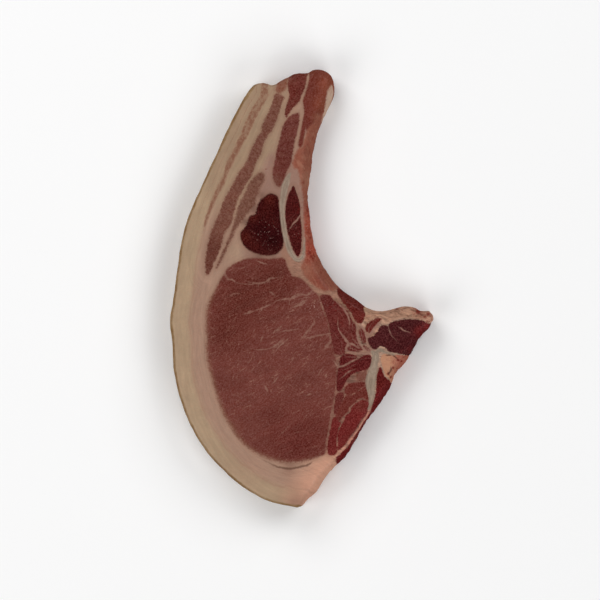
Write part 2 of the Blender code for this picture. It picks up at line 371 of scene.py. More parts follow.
    Muscle("multi_foot", Tissue.MULTI_RED, (
        (14.9, -60.2), (16.6, -61.6), (17.6, -63.0), (16.6, -65.8), (16.0, -69.0), (15.9, -73.0),
        (16.2, -75.6), (15.2, -77.4), (12.6, -77.0), (12.2, -73.5), (12.7, -69.5), (13.6, -65.5),
    ), 0.3, swell=0.35),
    Muscle("sawn_edge", Tissue.WALL_RED, (
        (35.4, -38.4), (36.6, -36.2), (38.0, -39.6), (40.0, -42.2), (44.0, -44.0), (41.0, -53.0),
        (34.0, -62.0), (27.0, -73.0), (21.0, -81.0), (17.4, -83.4), (15.7, -79.6), (17.4, -77.5),
        (20.6, -74.6), (23.2, -71.0), (26.4, -66.6), (29.6, -61.4), (32.0, -57.0), (33.1, -53.0),
        (34.3, -49.6), (34.7, -45.0), (34.7, -41.5),
    ), 0.3),
)

SILVERSKIN = (
    Thread("rib_sheath", (
        (-5.8, 53.8, 0.6), (-7.0, 50.6, 1.4), (-8.2, 46.5, 1.6), (-9.1, 41.0, 1.3),
        (-9.2, 36.0, 1.1), (-8.8, 31.0, 1.0), (-8.0, 26.0, 1.0), (-7.0, 21.5, 1.1),
        (-5.4, 17.2, 1.1), (-3.4, 14.4, 1.0), (-1.4, 13.6, 0.9), (0.3, 15.2, 0.8),
        (1.0, 19.0, 0.6), (1.1, 24.0, 0.4),
    )),
    Thread("chine_sheath", (
        (33.0, -29.4, 0.8), (34.4, -31.5, 1.7), (34.0, -34.5, 1.6), (33.2, -38.0, 2.0),
        (32.2, -42.0, 2.4), (32.1, -46.0, 2.0), (32.4, -50.0, 1.4), (32.2, -53.0, 0.9),
        (31.2, -56.4, 0.5),
    )),
    Thread("chine_cap", (
        (34.6, -29.6, 0.7), (36.6, -28.4, 0.8), (38.8, -29.4, 0.5), (41.5, -30.2, 0.25),
        (46.0, -30.7, 0.15),
    )),
)

THREADS = (
    Thread("eye_vein", (
        (4.8, -0.9, 0.37), (2.2, -2.8, 0.47), (0.0, -2.6, 0.42), (-3.0, -3.7, 0.42),
        (-6.0, -4.6, 0.47), (-9.0, -4.8, 0.37), (-12.6, -5.7, 0.14),
    )),
    Thread("eye_vein_twin", ((-0.6, -1.6, 0.14), (-3.0, -3.0, 0.37), (-5.4, -4.4, 0.27))),
    Thread("eye_vein_low", (
        (2.4, -5.2, 0.14), (0.4, -5.9, 0.47), (-1.8, -7.4, 0.47), (-5.0, -9.0, 0.14),
    )),
    Thread("eye_vein_low_twin", ((1.6, -6.6, 0.14), (-0.6, -7.4, 0.37), (-3.0, -8.6, 0.14))),
    Thread("eye_vein_left", ((-15.0, -7.0, 0.14), (-18.2, -8.8, 0.42), (-19.0, -10.4, 0.16))),
    Thread("eye_vein_far", ((-22.0, -10.6, 0.12), (-24.6, -10.4, 0.34), (-26.0, -11.4, 0.12))),
    Thread("upper_arc", (
        (-11.8, 5.3, 0.14), (-15.0, 4.9, 0.4), (-17.4, 3.2, 0.36), (-20.5, 2.6, 0.34),
        (-25.0, 3.3, 0.16),
    )),
    Thread("upper_left_arc", (
        (-36.0, 8.4, 0.32), (-35.8, 6.2, 0.52), (-34.6, 4.8, 0.47), (-32.4, 4.2, 0.32),
        (-31.0, 2.8, 0.14),
    )),
    Thread("upper_arc_left", (
        (-33.8, 4.4, 0.08), (-30.0, 2.8, 0.16), (-25.6, 2.2, 0.22), (-20.0, 2.5, 0.18),
        (-15.6, 4.0, 0.1),
    )),
    Thread("eye_vein_run", (
        (-11.6, -5.6, 0.1), (-14.4, -7.0, 0.2), (-17.8, -8.6, 0.3), (-21.4, -10.0, 0.2),
        (-24.8, -11.2, 0.3), (-28.0, -12.0, 0.1),
    )),
    Thread("hooked_stroke", (
        (-8.0, -22.2, 0.1), (-11.0, -25.4, 0.3), (-14.6, -27.6, 0.3), (-20.0, -28.4, 0.24),
        (-25.0, -28.0, 0.1),
    )),
    Thread("upper_fleck", ((-21.0, 13.2, 0.14), (-18.6, 12.2, 0.37), (-16.4, 11.4, 0.14))),
    Thread("mid_fleck", ((-33.0, -2.4, 0.05), (-30.0, -2.2, 0.2), (-27.6, -2.8, 0.05))),
    Thread("side_fleck", ((-16.0, -1.2, 0.09), (-13.4, -2.2, 0.37), (-14.6, -3.0, 0.09))),
    Thread("level_vein", (
        (12.4, -21.0, 0.37), (8.0, -21.7, 0.37), (4.0, -22.6, 0.34), (-0.4, -23.4, 0.12),
    )),
    Thread("rising_vein", (
        (5.9, -13.6, 0.12), (5.4, -16.2, 0.34), (3.0, -19.2, 0.36), (0.8, -22.0, 0.32),
        (-1.2, -23.8, 0.09),
    )),
    Thread("knot", (
        (13.4, -22.4, 0.42), (13.0, -25.0, 0.47), (10.8, -26.8, 0.42), (13.0, -27.2, 0.27),
    )),
    Thread("faint_level", ((-1.2, -18.6, 0.09), (-6.0, -19.4, 0.3), (-13.6, -20.4, 0.09))),
    Thread("faint_rise", ((-8.8, -16.6, 0.09), (-11.0, -18.8, 0.32), (-13.4, -19.8, 0.09))),
    Thread("short_stroke", ((-18.3, -21.6, 0.09), (-18.8, -23.4, 0.37), (-19.6, -25.2, 0.09))),
    Thread("long_rise", (
        (-5.6, -22.6, 0.09), (-8.2, -24.8, 0.37), (-11.0, -27.2, 0.28), (-13.4, -31.4, 0.09),
    )),
    Thread("low_stroke", ((-11.0, -41.0, 0.09), (-12.4, -42.8, 0.37), (-14.2, -44.6, 0.09))),
    Thread("low_stroke_right", ((9.8, -36.6, 0.09), (8.4, -38.6, 0.34), (7.4, -41.4, 0.09))),
    Thread("low_dot", ((2.4, -49.6, 0.14), (3.5, -49.2, 0.47), (4.4, -49.0, 0.14))),
    Thread("low_left_dot", ((-17.8, -45.0, 0.14), (-16.8, -46.2, 0.4), (-15.8, -48.4, 0.09))),
    Thread("low_fan_a", ((-4.0, -62.0, 0.09), (-8.0, -66.0, 0.18), (-12.0, -70.0, 0.09))),
    Thread("edge_nick", ((16.2, -35.4, 0.4), (15.0, -33.8, 0.3), (13.6, -32.8, 0.1))),
    Thread("fan_septum", (
        (25.6, -16.8, 0.3), (25.7, -20.0, 0.5), (26.3, -23.4, 0.55), (28.0, -27.0, 0.45),
        (30.6, -29.2, 0.5), (33.0, -29.8, 0.6),
    )),
    Thread("fan_septum_right", (
        (27.4, -16.8, 0.4), (29.6, -20.0, 0.45), (30.2, -23.4, 0.35), (31.2, -27.2, 0.4),
        (33.6, -29.0, 0.5),
    )),
    Thread("fan_line", (
        (16.6, -6.4, 0.3), (19.4, -9.2, 0.45), (21.2, -12.0, 0.4), (22.2, -15.2, 0.3),
        (22.0, -18.4, 0.12),
    )),
    Thread("fan_rung", (
        (16.8, -14.6, 0.15), (17.0, -18.6, 0.25), (19.4, -22.4, 0.45), (21.6, -25.2, 0.6),
        (24.0, -26.0, 0.5), (26.4, -27.6, 0.3),
    )),
    Thread("fan_foot", (
        (21.8, -25.4, 0.5), (20.6, -28.4, 0.6), (22.4, -29.5, 0.5), (26.6, -30.2, 0.5),
        (31.4, -30.0, 0.6),
    )),
    Thread("bud_line", (
        (36.0, -16.2, 0.7), (33.8, -18.8, 0.8), (31.8, -21.4, 0.6), (30.4, -22.8, 0.4),
    )),
    Thread("chine_fibre", (
        (45.0, -17.6, 0.12), (47.2, -19.2, 0.3), (50.0, -20.2, 0.22), (51.6, -20.8, 0.05),
    )),
    Thread("chine_fibre_left", (
        (40.4, -18.0, 0.2), (41.6, -21.4, 0.22), (44.4, -24.4, 0.1),
    )),
    Thread("rib_fibre", (
        (-0.8, 34.4, 0.3), (-2.2, 32.4, 0.35), (-4.2, 30.4, 0.3), (-6.0, 27.4, 0.15),
    )),
    Thread("multi_fibre", (
        (18.0, -42.0, 0.12), (20.2, -40.0, 0.3), (22.0, -38.6, 0.22), (25.0, -37.4, 0.1),
    )),
    Thread("multi_fibre_top", ((17.4, -36.4, 0.3), (20.6, -35.2, 0.4), (24.6, -33.0, 0.35))),
    Thread("tail_stroke", ((1.6, 75.4, 0.15), (2.0, 73.0, 0.4), (2.2, 70.2, 0.15))),
    Thread("tail_dash", ((-1.8, 65.0, 0.2), (-1.2, 64.6, 0.45), (-0.2, 64.4, 0.15))),
)

STRAND = Thread("fat_strand", (
    (-17.4, 96.0, 1.5), (-17.6, 91.0, 1.7), (-18.8, 88.0, 1.6), (-21.0, 84.8, 1.8),
    (-23.2, 80.6, 1.9), (-25.2, 76.2, 1.8), (-27.0, 72.0, 1.6), (-29.4, 67.6, 1.4),
    (-31.6, 63.2, 1.2), (-33.6, 59.4, 1.3), (-34.8, 56.6, 1.2), (-35.8, 53.6, 0.8),
    (-37.6, 49.2, 1.2), (-39.6, 45.2, 1.0), (-41.4, 41.4, 0.9), (-43.2, 36.8, 0.8),
    (-44.6, 33.0, 0.7), (-45.6, 29.4, 0.3),
))

PALE_SKIN = Thread("pale_skin", (
    (13.6, 95.2, 0.3), (13.2, 92.4, 1.5), (12.7, 88.4, 1.5), (11.6, 83.6, 1.2),
    (10.4, 79.6, 0.8), (8.8, 76.0, 0.2),
))

# The crease along the lower edge of the eye: sunk in the relief, with painted shade laid in it as a
# dark line
SHADE_PAINTED_CREASE = Thread("crease", (
    (-21.0, -78.4, 0.1), (-14.0, -82.0, 0.25), (-9.5, -83.6, 0.4), (-6.0, -84.0, 0.5),
    (-3.0, -83.6, 0.4), (0.0, -82.9, 0.45), (2.4, -82.4, 0.5), (5.0, -81.0, 0.15),
))

# Cracks in the bone chip: sunk in the relief, with painted shade laid in them as dark lines
SHADE_PAINTED_BONE_CRACK = (
    Thread("bone_crack", (
        (38.8, -31.0, 0.1), (40.4, -30.9, 0.35), (42.4, -31.0, 0.35), (43.8, -32.0, 0.3),
        (45.2, -33.2, 0.1),
    )),
    Thread("bone_crack_low", ((41.4, -36.0, 0.1), (41.8, -37.6, 0.3), (40.6, -39.4, 0.3))),
)

MEMBRANE = (
    (24.0, 84.0), (12.4, 84.0), (9.0, 81.6), (5.8, 78.4), (3.2, 75.6), (2.0, 72.6),
    (0.8, 69.0), (0.0, 66.2), (-1.8, 65.6), (-3.4, 62.4),
    (-4.4, 58.8), (-3.8, 56.4), (-2.0, 55.6), (-1.2, 52.0), (0.0, 46.0), (0.7, 41.0),
    (0.9, 35.0), (1.1, 28.0), (1.5, 22.0), (1.7, 17.5), (1.3, 14.4), (0.2, 12.2), (-0.4, 9.8),
    (0.8, 6.8), (3.4, 3.8), (6.2, 1.2), (9.0, -0.4), (12.0, -1.0), (15.2, -0.8), (17.0, 0.6),
    (24.0, 6.0), (16.0, 20.0), (10.0, 40.0), (12.0, 62.0), (18.0, 76.0),
)

RIND_LINE = (
    (-14.3, 106.0), (-22.6, 95.6), (-26.2, 90.0), (-30.0, 84.0), (-41.2, 61.0),
    (-50.4, 41.0), (-55.6, 26.0), (-58.7, 7.0), (-60.7, -7.5), (-61.8, -15.0), (-60.8, -24.0),
    (-60.0, -38.0), (-57.4, -50.0), (-52.5, -63.5), (-45.0, -76.0), (-36.5, -85.3),
    (-26.0, -94.0), (-15.6, -99.5), (-5.0, -101.9), (-0.6, -102.4), (0.5, -106.0),
)

SAWN_LINE = (
    (63.0, -13.0), (60.3, -17.2), (55.4, -22.5), (50.6, -31.0), (48.4, -34.9), (44.4, -38.8),
    (41.8, -45.0), (37.9, -51.6), (34.8, -55.8), (29.6, -63.2), (24.6, -72.0), (19.4, -79.6),
    (15.4, -83.2),
)

# Seam between the lean and the back fat, and the socket of the bone chip, as in the CAD
SEAM_LINE = (
    (-10.6, 108.0), (-11.6, 97.0), (-13.6, 87.0), (-19.8, 74.0), (-25.6, 60.0), (-33.5, 48.5),
    (-40.0, 34.5), (-44.6, 20.0), (-45.3, 8.0), (-44.6, -2.0), (-45.6, -16.0), (-45.1, -32.0),
    (-42.8, -46.0), (-36.6, -62.0), (-29.0, -73.0), (-19.0, -80.4), (-7.0, -83.7),
    (3.0, -82.0), (11.5, -78.0), (14.8, -78.6), (16.4, -82.6), (19.0, -90.0),
)
SOCKET = (
    (60.0, -31.6), (45.0, -30.7), (38.4, -30.3), (36.9, -31.9), (37.3, -35.2), (39.2, -40.4),
    (41.4, -43.9), (52.0, -49.0),
)

# Small spots: where, and how far across
BLOOD_SPOTS = (
    (2.6, 36.8, 0.7), (3.2, 34.2, 0.6), (2.9, 38.6, 0.5), (3.6, 17.0, 0.9), (4.4, 15.2, 0.8),
    (5.2, 14.2, 0.6), (3.4, 13.0, 0.3), (3.8, 24.0, 0.5), (3.4, 28.0, 0.4), (2.4, 20.8, 0.3),
    (44.5, -9.4, 0.6), (54.2, -10.8, 1.0), (58.8, -11.8, 0.8), (57.4, -13.0, 0.7),
    (58.4, -15.4, 0.7), (52.0, -10.4, 0.3), (49.2, -12.6, 0.25), (34.2, -12.4, 0.3),
    (40.3, -39.8, 0.7), (41.6, -41.2, 0.7), (42.6, -36.8, 0.5), (44.6, -37.4, 0.3),
    (44.8, -33.2, 0.6), (46.6, -33.8, 0.5), (15.4, -7.6, 0.3), (15.8, -10.0, 0.4),
    (-16.9, 56.0, 0.35), (18.4, -1.8, 0.3),
)

# Stretches of fat with a tone of their own
FAT_ZONES = (
    Muscle("tail_fat", Tissue.TAIL_FAT, (
        (-40.0, 110.0), (-6.0, 110.0), (-8.0, 84.0), (-14.0, 58.0), (-34.0, 34.0),
        (-44.0, 52.0),
    ), 7.0),
    Muscle("seam_fat", Tissue.SEAM_FAT, (
        (-16.0, 62.0), (-9.0, 60.0), (-3.0, 62.0), (2.0, 40.0), (2.0, 12.0), (-8.0, 12.0),
        (-24.0, 13.0), (-28.0, 17.0), (-24.0, 36.0),
    ), 2.5),
    Muscle("bay_fat", Tissue.BAY_FAT, (
        (-10.0, 20.0), (-3.0, 15.0), (0.0, 13.0), (4.0, 6.0), (12.0, 1.0), (18.0, -2.0),
        (18.0, -8.0), (6.0, -6.0), (-6.0, 4.0),
    ), 1.2),
    Muscle("chine_cap_fat", Tissue.CHINE_FAT, (
        (27.0, -5.0), (31.0, -7.0), (38.0, -8.0), (46.0, -6.0), (53.0, -6.5), (63.0, -8.0),
        (63.0, -13.4), (57.0, -14.4), (50.0, -13.6), (44.0, -14.0), (41.0, -15.4),
        (36.0, -20.0), (31.0, -24.0), (29.0, -16.0),
    ), 0.8),
    Muscle("fan_fat", Tissue.FAN_FAT, (
        (15.0, -5.0), (21.0, -8.0), (26.0, -16.0), (31.0, -20.0), (32.0, -29.0),
        (24.0, -32.0), (13.0, -30.0), (10.0, -12.0),
    ), 1.0),
    Muscle("multi_fat", Tissue.MULTI_FAT, (
        (15.0, -30.5), (24.0, -30.5), (31.5, -32.0), (30.0, -42.0), (33.0, -54.0),
        (27.0, -66.0), (19.0, -76.0), (11.0, -78.0), (13.0, -60.0), (15.4, -46.0),
    ), 1.0),
    Muscle("rim_fat", Tissue.RIM_FAT, (
        (33.4, -50.0), (32.0, -57.0), (29.2, -62.2), (25.4, -68.2), (20.8, -74.4), (17.2, -78.4),
        (16.0, -77.4), (20.2, -73.2), (24.6, -67.4), (28.5, -61.4), (31.3, -56.0),
        (32.4, -51.0),
    ), 0.4),
    Muscle("end_fat", Tissue.PINK_FAT, (
        (10.0, -76.0), (22.0, -78.0), (20.0, -92.0), (6.0, -106.0), (-5.0, -104.0),
        (-4.0, -94.0), (0.0, -86.0),
    ), 7.5),
)

# Broad, soft washes of another tone: tissue, place, reach and strength
FAT_WASHES = (
    (Tissue.FRINGE, -22.6, 37.6, 3.2, 0.9), (Tissue.FRINGE, -26.4, 31.4, 2.8, 0.85),
    (Tissue.FRINGE, -18.6, 43.6, 2.6, 0.8), (Tissue.FRINGE, -20.0, 15.2, 5.0, 0.75),
    (Tissue.FRINGE, -13.6, 15.6, 3.4, 0.5), (Tissue.FRINGE, 23.5, -42.5, 2.4, 1.0),
    (Tissue.OUTER_FAT, -15.5, 85.0, 5.0, 0.5),
    (Tissue.SEPTUM, -3.0, -99.4, 6.0, 0.9), (Tissue.FRINGE, -6.0, -83.6, 4.0, 0.45),
    (Tissue.PINK_FAT, 13.8, -81.0, 3.0, 0.7),
    (Tissue.OUTER_FAT, -31.0, 17.5, 6.0, 0.35), (Tissue.PINK_FAT, 60.6, -14.6, 4.0, 0.6),
    (Tissue.BAY_RED, 55.4, -12.0, 4.0, 0.35), (Tissue.SILVER, 37.0, -16.8, 3.0, 0.3),
    (Tissue.TIP_RED, 54.6, -9.6, 2.6, 0.7), (Tissue.TIP_RED, 59.4, -11.6, 1.8, 0.5),
    (Tissue.SILVER, 26.0, -26.0, 6.0, 0.35), (Tissue.SEPTUM, -8.0, -96.0, 8.0, 0.3),
    (Tissue.OUTER_FAT, 29.6, -9.6, 3.0, 0.4), (Tissue.BAY_FAT, 16.0, -76.0, 4.0, 0.4),
    (Tissue.SEPTUM, -26.0, -84.0, 14.0, 0.25), (Tissue.BAY_FAT, -6.0, -84.0, 7.0, 0.3),
)

LEAN_WASHES = (
    (Tissue.EYE_UPPER, -30.0, -6.0, 17.0, 0.9), (Tissue.EYE_UPPER, -14.0, 4.0, 15.0, 0.85),
    (Tissue.EYE_UPPER, -36.0, -22.0, 11.0, 0.7), (Tissue.EYE_LOWER, -2.0, -72.0, 15.0, 0.9),
    (Tissue.EYE_LOWER, 6.0, -62.0, 9.0, 0.5), (Tissue.EYE_LOWER, -12.0, -60.0, 8.0, 0.4),
    (Tissue.EYE_EDGE, -34.0, -66.0, 6.0, 0.25), (Tissue.CHINE_RED, 16.0, -19.0, 3.6, 0.75),
    (Tissue.CHINE_RED, 14.6, -8.0, 3.6, 0.7), (Tissue.PILLAR, 18.6, -13.0, 3.0, 0.5),
    (Tissue.WALL_RED, 55.0, -21.0, 4.0, 0.8), (Tissue.TIP_RED, 58.4, -17.6, 2.6, 0.9),
    (Tissue.WALL_RED, 50.6, -28.0, 2.6, 0.5), (Tissue.STREAK_LOW, -42.0, 18.0, 9.0, 0.85),
    (Tissue.STREAK_LOW, -43.4, 9.0, 6.0, 0.5), (Tissue.TAIL_BROWN, -9.0, 98.0, 4.0, 0.8),
    (Tissue.TAIL_BROWN, 4.0, 101.8, 3.4, 0.4), (Tissue.DARK_RED, -26.6, 24.0, 4.6, 0.95),
    (Tissue.DARK_RED, -15.0, 42.0, 4.4, 0.95), (Tissue.DARK_RED, -23.0, 33.0, 3.4, 0.8),
    (Tissue.DARK_RED, -17.0, 36.0, 6.0, 0.45), (Tissue.DARK_RED, -22.0, 20.4, 4.0, 0.5),
    (Tissue.DARK_RED, -13.0, 31.0, 3.0, 0.3), (Tissue.TIP_RED, 55.0, -19.4, 3.0, 0.5),
    (Tissue.DARK_RED, 37.4, -43.4, 5.0, 0.5), (Tissue.MULTI, 22.0, -23.0, 3.0, 0.8),
    (Tissue.MEMBRANE_PALE, 7.4, 80.4, 2.6, 0.6),
    (Tissue.FLANK_SIDE, 12.8, 95.0, 7.0, 0.95), (Tissue.FLANK_SIDE, 9.8, 86.0, 6.0, 0.85),
    (Tissue.FLANK_SIDE, 11.6, 101.0, 4.0, 0.5), (Tissue.FLANK_SIDE, 5.4, 80.0, 2.6, 0.4),
    (Tissue.DARKEST, -13.6, 22.6, 5.4, 0.8), (Tissue.DARKEST, -18.6, 27.4, 4.2, 0.6),
    (Tissue.BELLY, -4.6, 32.0, 3.4, 0.25), (Tissue.STREAK_PALE, -12.0, 50.4, 5.0, 0.5),
    (Tissue.MULTI, 27.6, -54.6, 4.4, 0.8), (Tissue.TIP_RED, 28.8, -59.6, 3.2, 0.5),
    (Tissue.MULTI, 24.0, -69.6, 4.0, 0.5), (Tissue.PILLAR, 21.0, -39.4, 5.0, 0.3),
)

MEMBRANE_WASHES = (
    (Tissue.MEMBRANE_RED, 4.0, 30.0, 9.0, 0.8), (Tissue.MEMBRANE_RED, 4.6, 19.0, 7.0, 0.9),
    (Tissue.MEMBRANE_PALE, 3.0, 51.0, 6.0, 0.6), (Tissue.BAY_RED, 7.4, 3.6, 4.0, 0.85),
    (Tissue.MEMBRANE_PALE, 2.0, 9.0, 3.0, 0.35), (Tissue.BAY_RED, 11.4, 0.0, 3.0, 0.7),
    (Tissue.MEMBRANE_PALE, 15.6, -1.0, 2.6, 0.5), (Tissue.FLANK_SIDE, -1.0, 60.0, 4.0, 0.3),
)

# Patches of clotted blood: place, reach and strength
BLOODY_PATCHES = (
    (14.8, -8.4, 2.6, 0.8), (17.6, -16.0, 3.0, 0.5), (31.0, -13.0, 3.0, 0.5),
    (3.4, 37.0, 8.0, 0.8), (4.4, 16.0, 6.0, 1.0), (3.6, 26.0, 6.0, 0.7), (54.0, -10.4, 4.0, 0.9),
    (59.4, -14.0, 4.4, 0.9), (43.6, -38.0, 5.0, 0.8), (46.0, -33.0, 3.4, 0.8),
    (10.0, 9.0, 6.0, 0.4), (17.0, 0.6, 4.0, 0.4), (46.0, -9.2, 4.0, 0.35), (2.6, 48.0, 6.0, 0.4),
)

# Where the edges of the muscles fray most: place, reach and strength
FRAYED_EDGES = ((-22.0, 37.0, 5.0, 1.0), (-27.0, 31.0, 4.0, 1.0))

# Clusters of tiny painted highlights, pale glints of the wet surface: place, reach and strength
PAINTED_GLINTS = (
    (5.4, -9.0, 5.0, 1.0), (10.0, -6.4, 2.6, 0.8), (15.0, -8.0, 2.6, 0.7), (-17.0, 27.0, 8.0, 0.45),
    (9.0, -11.4, 3.0, 0.7),
    (-14.0, 21.0, 4.0, 0.35), (-3.4, 26.0, 4.0, 0.3), (22.0, -7.0, 4.0, 0.3), (3.2, 30.0, 7.0, 0.8),
    (2.4, 42.0, 6.0, 0.7), (-2.0, 101.0, 3.0, 0.4), (4.0, 17.0, 3.0, 0.5), (-9.0, 12.0, 4.0, 0.2),
)


def flowing(points: Sequence[Sequence[float]], closed: bool) -> np.ndarray:
    """Run a smooth line through points and space it evenly.

    Args:
        points: Rows of x, y and any further values to carry along.
        closed: Whether the line joins its own start.

    Returns:
        The respaced rows; a closed line doesn't repeat its first row.
    """
    rows = np.asarray(points, dtype=float)
    if closed:
        ring = np.vstack((rows[-1:], rows, rows[:2]))
    else:
        ring = np.vstack((2 * rows[0] - rows[1], rows, 2 * rows[-1] - rows[-2]))
    before, start, end, after = ring[:-3], ring[1:-2], ring[2:-1], ring[3:]
    fine = []
    for part in range(CURVE_PARTS):
        t = part / CURVE_PARTS
        fine.append(0.5 * (2 * start + (end - before) * t
                           + (2 * before - 5 * start + 4 * end - after) * t ** 2
                           + (3 * start - before - 3 * end + after) * t ** 3))
    line = np.stack(fine, axis=1).reshape(-1, rows.shape[1])
    line = np.vstack((line, line[:1] if closed else rows[-1:]))
    run = np.concatenate(([0.0], np.cumsum(np.linalg.norm(np.diff(line[:, :2], axis=0), axis=1))))
    at = np.linspace(0.0, run[-1], max(4, round(run[-1] / CURVE_STEP)) + 1)
    even = np.column_stack([np.interp(at, run, line[:, k]) for k in range(rows.shape[1])])
    return even[:-1] if closed else even


@dataclass
class Drawing:
    """Measures distances from the points of a mesh to the lines of the butcher's drawing.

    Attributes:
        plan: The mesh's points on the drawing, in millimetres, one row each.
    """

    plan: np.ndarray

    def nearby(self, line: np.ndarray, reach: float) -> np.ndarray:
        """Pick the points that lie within reach of a line's box.

        Args:
            line: Rows of x and y.
            reach: Margin round the box, in millimetres.

        Returns:
            Indices into the plan.
        """
        low = line[:, :2].min(axis=0) - reach
        high = line[:, :2].max(axis=0) + reach
        return np.flatnonzero(((self.plan >= low) & (self.plan <= high)).all(axis=1))

    def to_line(self, line: np.ndarray, picked: np.ndarray) -> tuple[np.ndarray, ...]:
        """Measure from picked points to the nearest stretch of an open line.

        Args:
            line: Rows of x, y and further values.
            picked: Indices into the plan.

        Returns:
            The signed distance (positive on the left of the line), and the line's own row at
            the nearest place.
        """
        starts, spans = line[:-1], np.diff(line, axis=0)
        length = np.maximum((spans[:, :2] ** 2).sum(axis=1), LITTLE)
        best = np.full(len(picked), 1e9)
        side = np.ones(len(picked))
        rows = np.zeros((len(picked), line.shape[1]))
        spots = self.plan[picked]
        for start, span, size in zip(starts, spans, length):
            away = spots - start[:2]
            along = np.clip((away @ span[:2]) / size, 0.0, 1.0)
            gap = away - along[:, None] * span[:2]
            square = (gap ** 2).sum(axis=1)
            near = square < best
            best[near] = square[near]
            turn = span[0] * away[:, 1] - span[1] * away[:, 0]
            side[near] = np.where(turn[near] >= 0.0, 1.0, -1.0)
            rows[near] = start + along[near, None] * span
        return np.sqrt(best) * side, rows

    def inside(self, outline: Sequence[Point], reach: float = FAR) -> np.ndarray:
        """Signed distance to a closed outline, positive inside it.

        Args:
            outline: Corners of the outline.
            reach: Distances beyond this are given as this.

        Returns:
            One distance for each point of the plan, in millimetres.
        """
        ring = flowing(outline, True)
        result = np.full(len(self.plan), -reach)
        picked = self.nearby(ring, reach)
        looped = np.vstack((ring, ring[:1]))
        distance = np.abs(self.to_line(looped, picked)[0])
        spots = self.plan[picked]
        crossed = np.zeros(len(picked), dtype=bool)
        for start, end in zip(looped[:-1], looped[1:]):
            if start[1] == end[1]:
                continue
            spans = (start[1] > spots[:, 1]) != (end[1] > spots[:, 1])
            meets = start[0] + (spots[:, 1] - start[1]) * (end[0] - start[0]) / (end[1] - start[1])
            crossed ^= spans & (spots[:, 0] < meets)
        result[picked] = np.where(crossed, 1.0, -1.0) * np.minimum(distance, reach)
        return result

    def away(self, points: Sequence[Point]) -> np.ndarray:
        """Plain distance from every point to an open, flowing line, in millimetres."""
        return np.abs(self.side(points))

    def side(self, points: Sequence[Point]) -> np.ndarray:
        """Signed distance from every point to an open, flowing line, positive on its left."""
        return self.to_line(flowing(points, False), np.arange(len(self.plan)))[0]

    def threads(self, lines: Iterable[Thread], reach: float) -> tuple[np.ndarray, np.ndarray]:
        """Nearest of several threads.

        Args:
            lines: The threads.
            reach: How far from a thread it still counts, in millimetres.

        Returns:
            Signed distance to the nearest thread, and its half width there, or none beyond
            the reach.
        """
        side = np.full(len(self.plan), reach)
        half = np.zeros(len(self.plan))
        for thread in lines:
            line = flowing(thread.beads, False)
            picked = self.nearby(line, reach)
            distance, rows = self.to_line(line, picked)
            nearer = (np.abs(distance) - rows[:, 2]) < (np.abs(side[picked]) - half[picked])
            nearer &= np.abs(distance) < reach
            side[picked[nearer]] = distance[nearer]
            half[picked[nearer]] = rows[nearer, 2]
        return side, half


def eased(value: np.ndarray, low: float, high: float) -> np.ndarray:
    """Ease a value from nought at low to one at high.

    Args:
        value: The values.
        low: Where the result starts to rise.
        high: Where it is full.

    Returns:
        Values from 0 to 1.
    """
    t = np.clip((value - low) / (high - low), 0.0, 1.0)
    return t * t * (3.0 - 2.0 * t)


def laid(base: np.ndarray, cover: np.ndarray, share: np.ndarray) -> np.ndarray:
    """Lay a colour over a base tone.

    Args:
        base: One linear colour, or one for each point.
        cover: The linear colour on top.
        share: How much of it shows at each point, from 0 to 1.

    Returns:
        One linear colour for each point.
    """
    weight = share[:, None]
    return base * (1.0 - weight) + cover * weight


def patch(plan: np.ndarray, x: float, y: float, reach: float) -> np.ndarray:
    """A soft, round patch: one at its middle, fading out over its reach."""
    square = ((plan - (x, y)) ** 2).sum(axis=1)
    return np.exp(-square / (0.5 * reach * reach))


def washed(base: np.ndarray, plan: np.ndarray, washes: Sequence[tuple]) -> np.ndarray:
    """Lay broad, soft patches of tone over a base tone.

    Args:
        base: One linear colour for each point.
        plan: The points, in millimetres.
        washes: Rows of tissue, x, y, reach and strength.

    Returns:
        The new colours.
    """
    for tissue, x, y, reach, strength in washes:
        base = laid(base, tissue.colour, strength * patch(plan, x, y, reach))
    return base


def clustered(plan: np.ndarray, clusters: Sequence[tuple]) -> np.ndarray:
    """Strength of the strongest of several soft, round clusters.

    Args:
        plan: The points, in millimetres.
        clusters: Rows of x, y, reach and strength.

    Returns:
        Values from 0 to 1.
    """
    return np.max([strength * patch(plan, x, y, reach) for x, y, reach, strength in clusters],
                  axis=0)


def rough(points: np.ndarray, wavelength: float, seed: float) -> np.ndarray:
    """Smooth, repeatable unevenness.

    Args:
        points: Places in millimetres, three to a row.
        wavelength: Size of its lumps, in millimetres.
        seed: Shifts the pattern.

    Returns:
        Values from about -1 to 1.
    """
    scaled = points / wavelength + seed
    return np.fromiter((noise.noise(p) for p in map(Vector, scaled)), float, len(points))


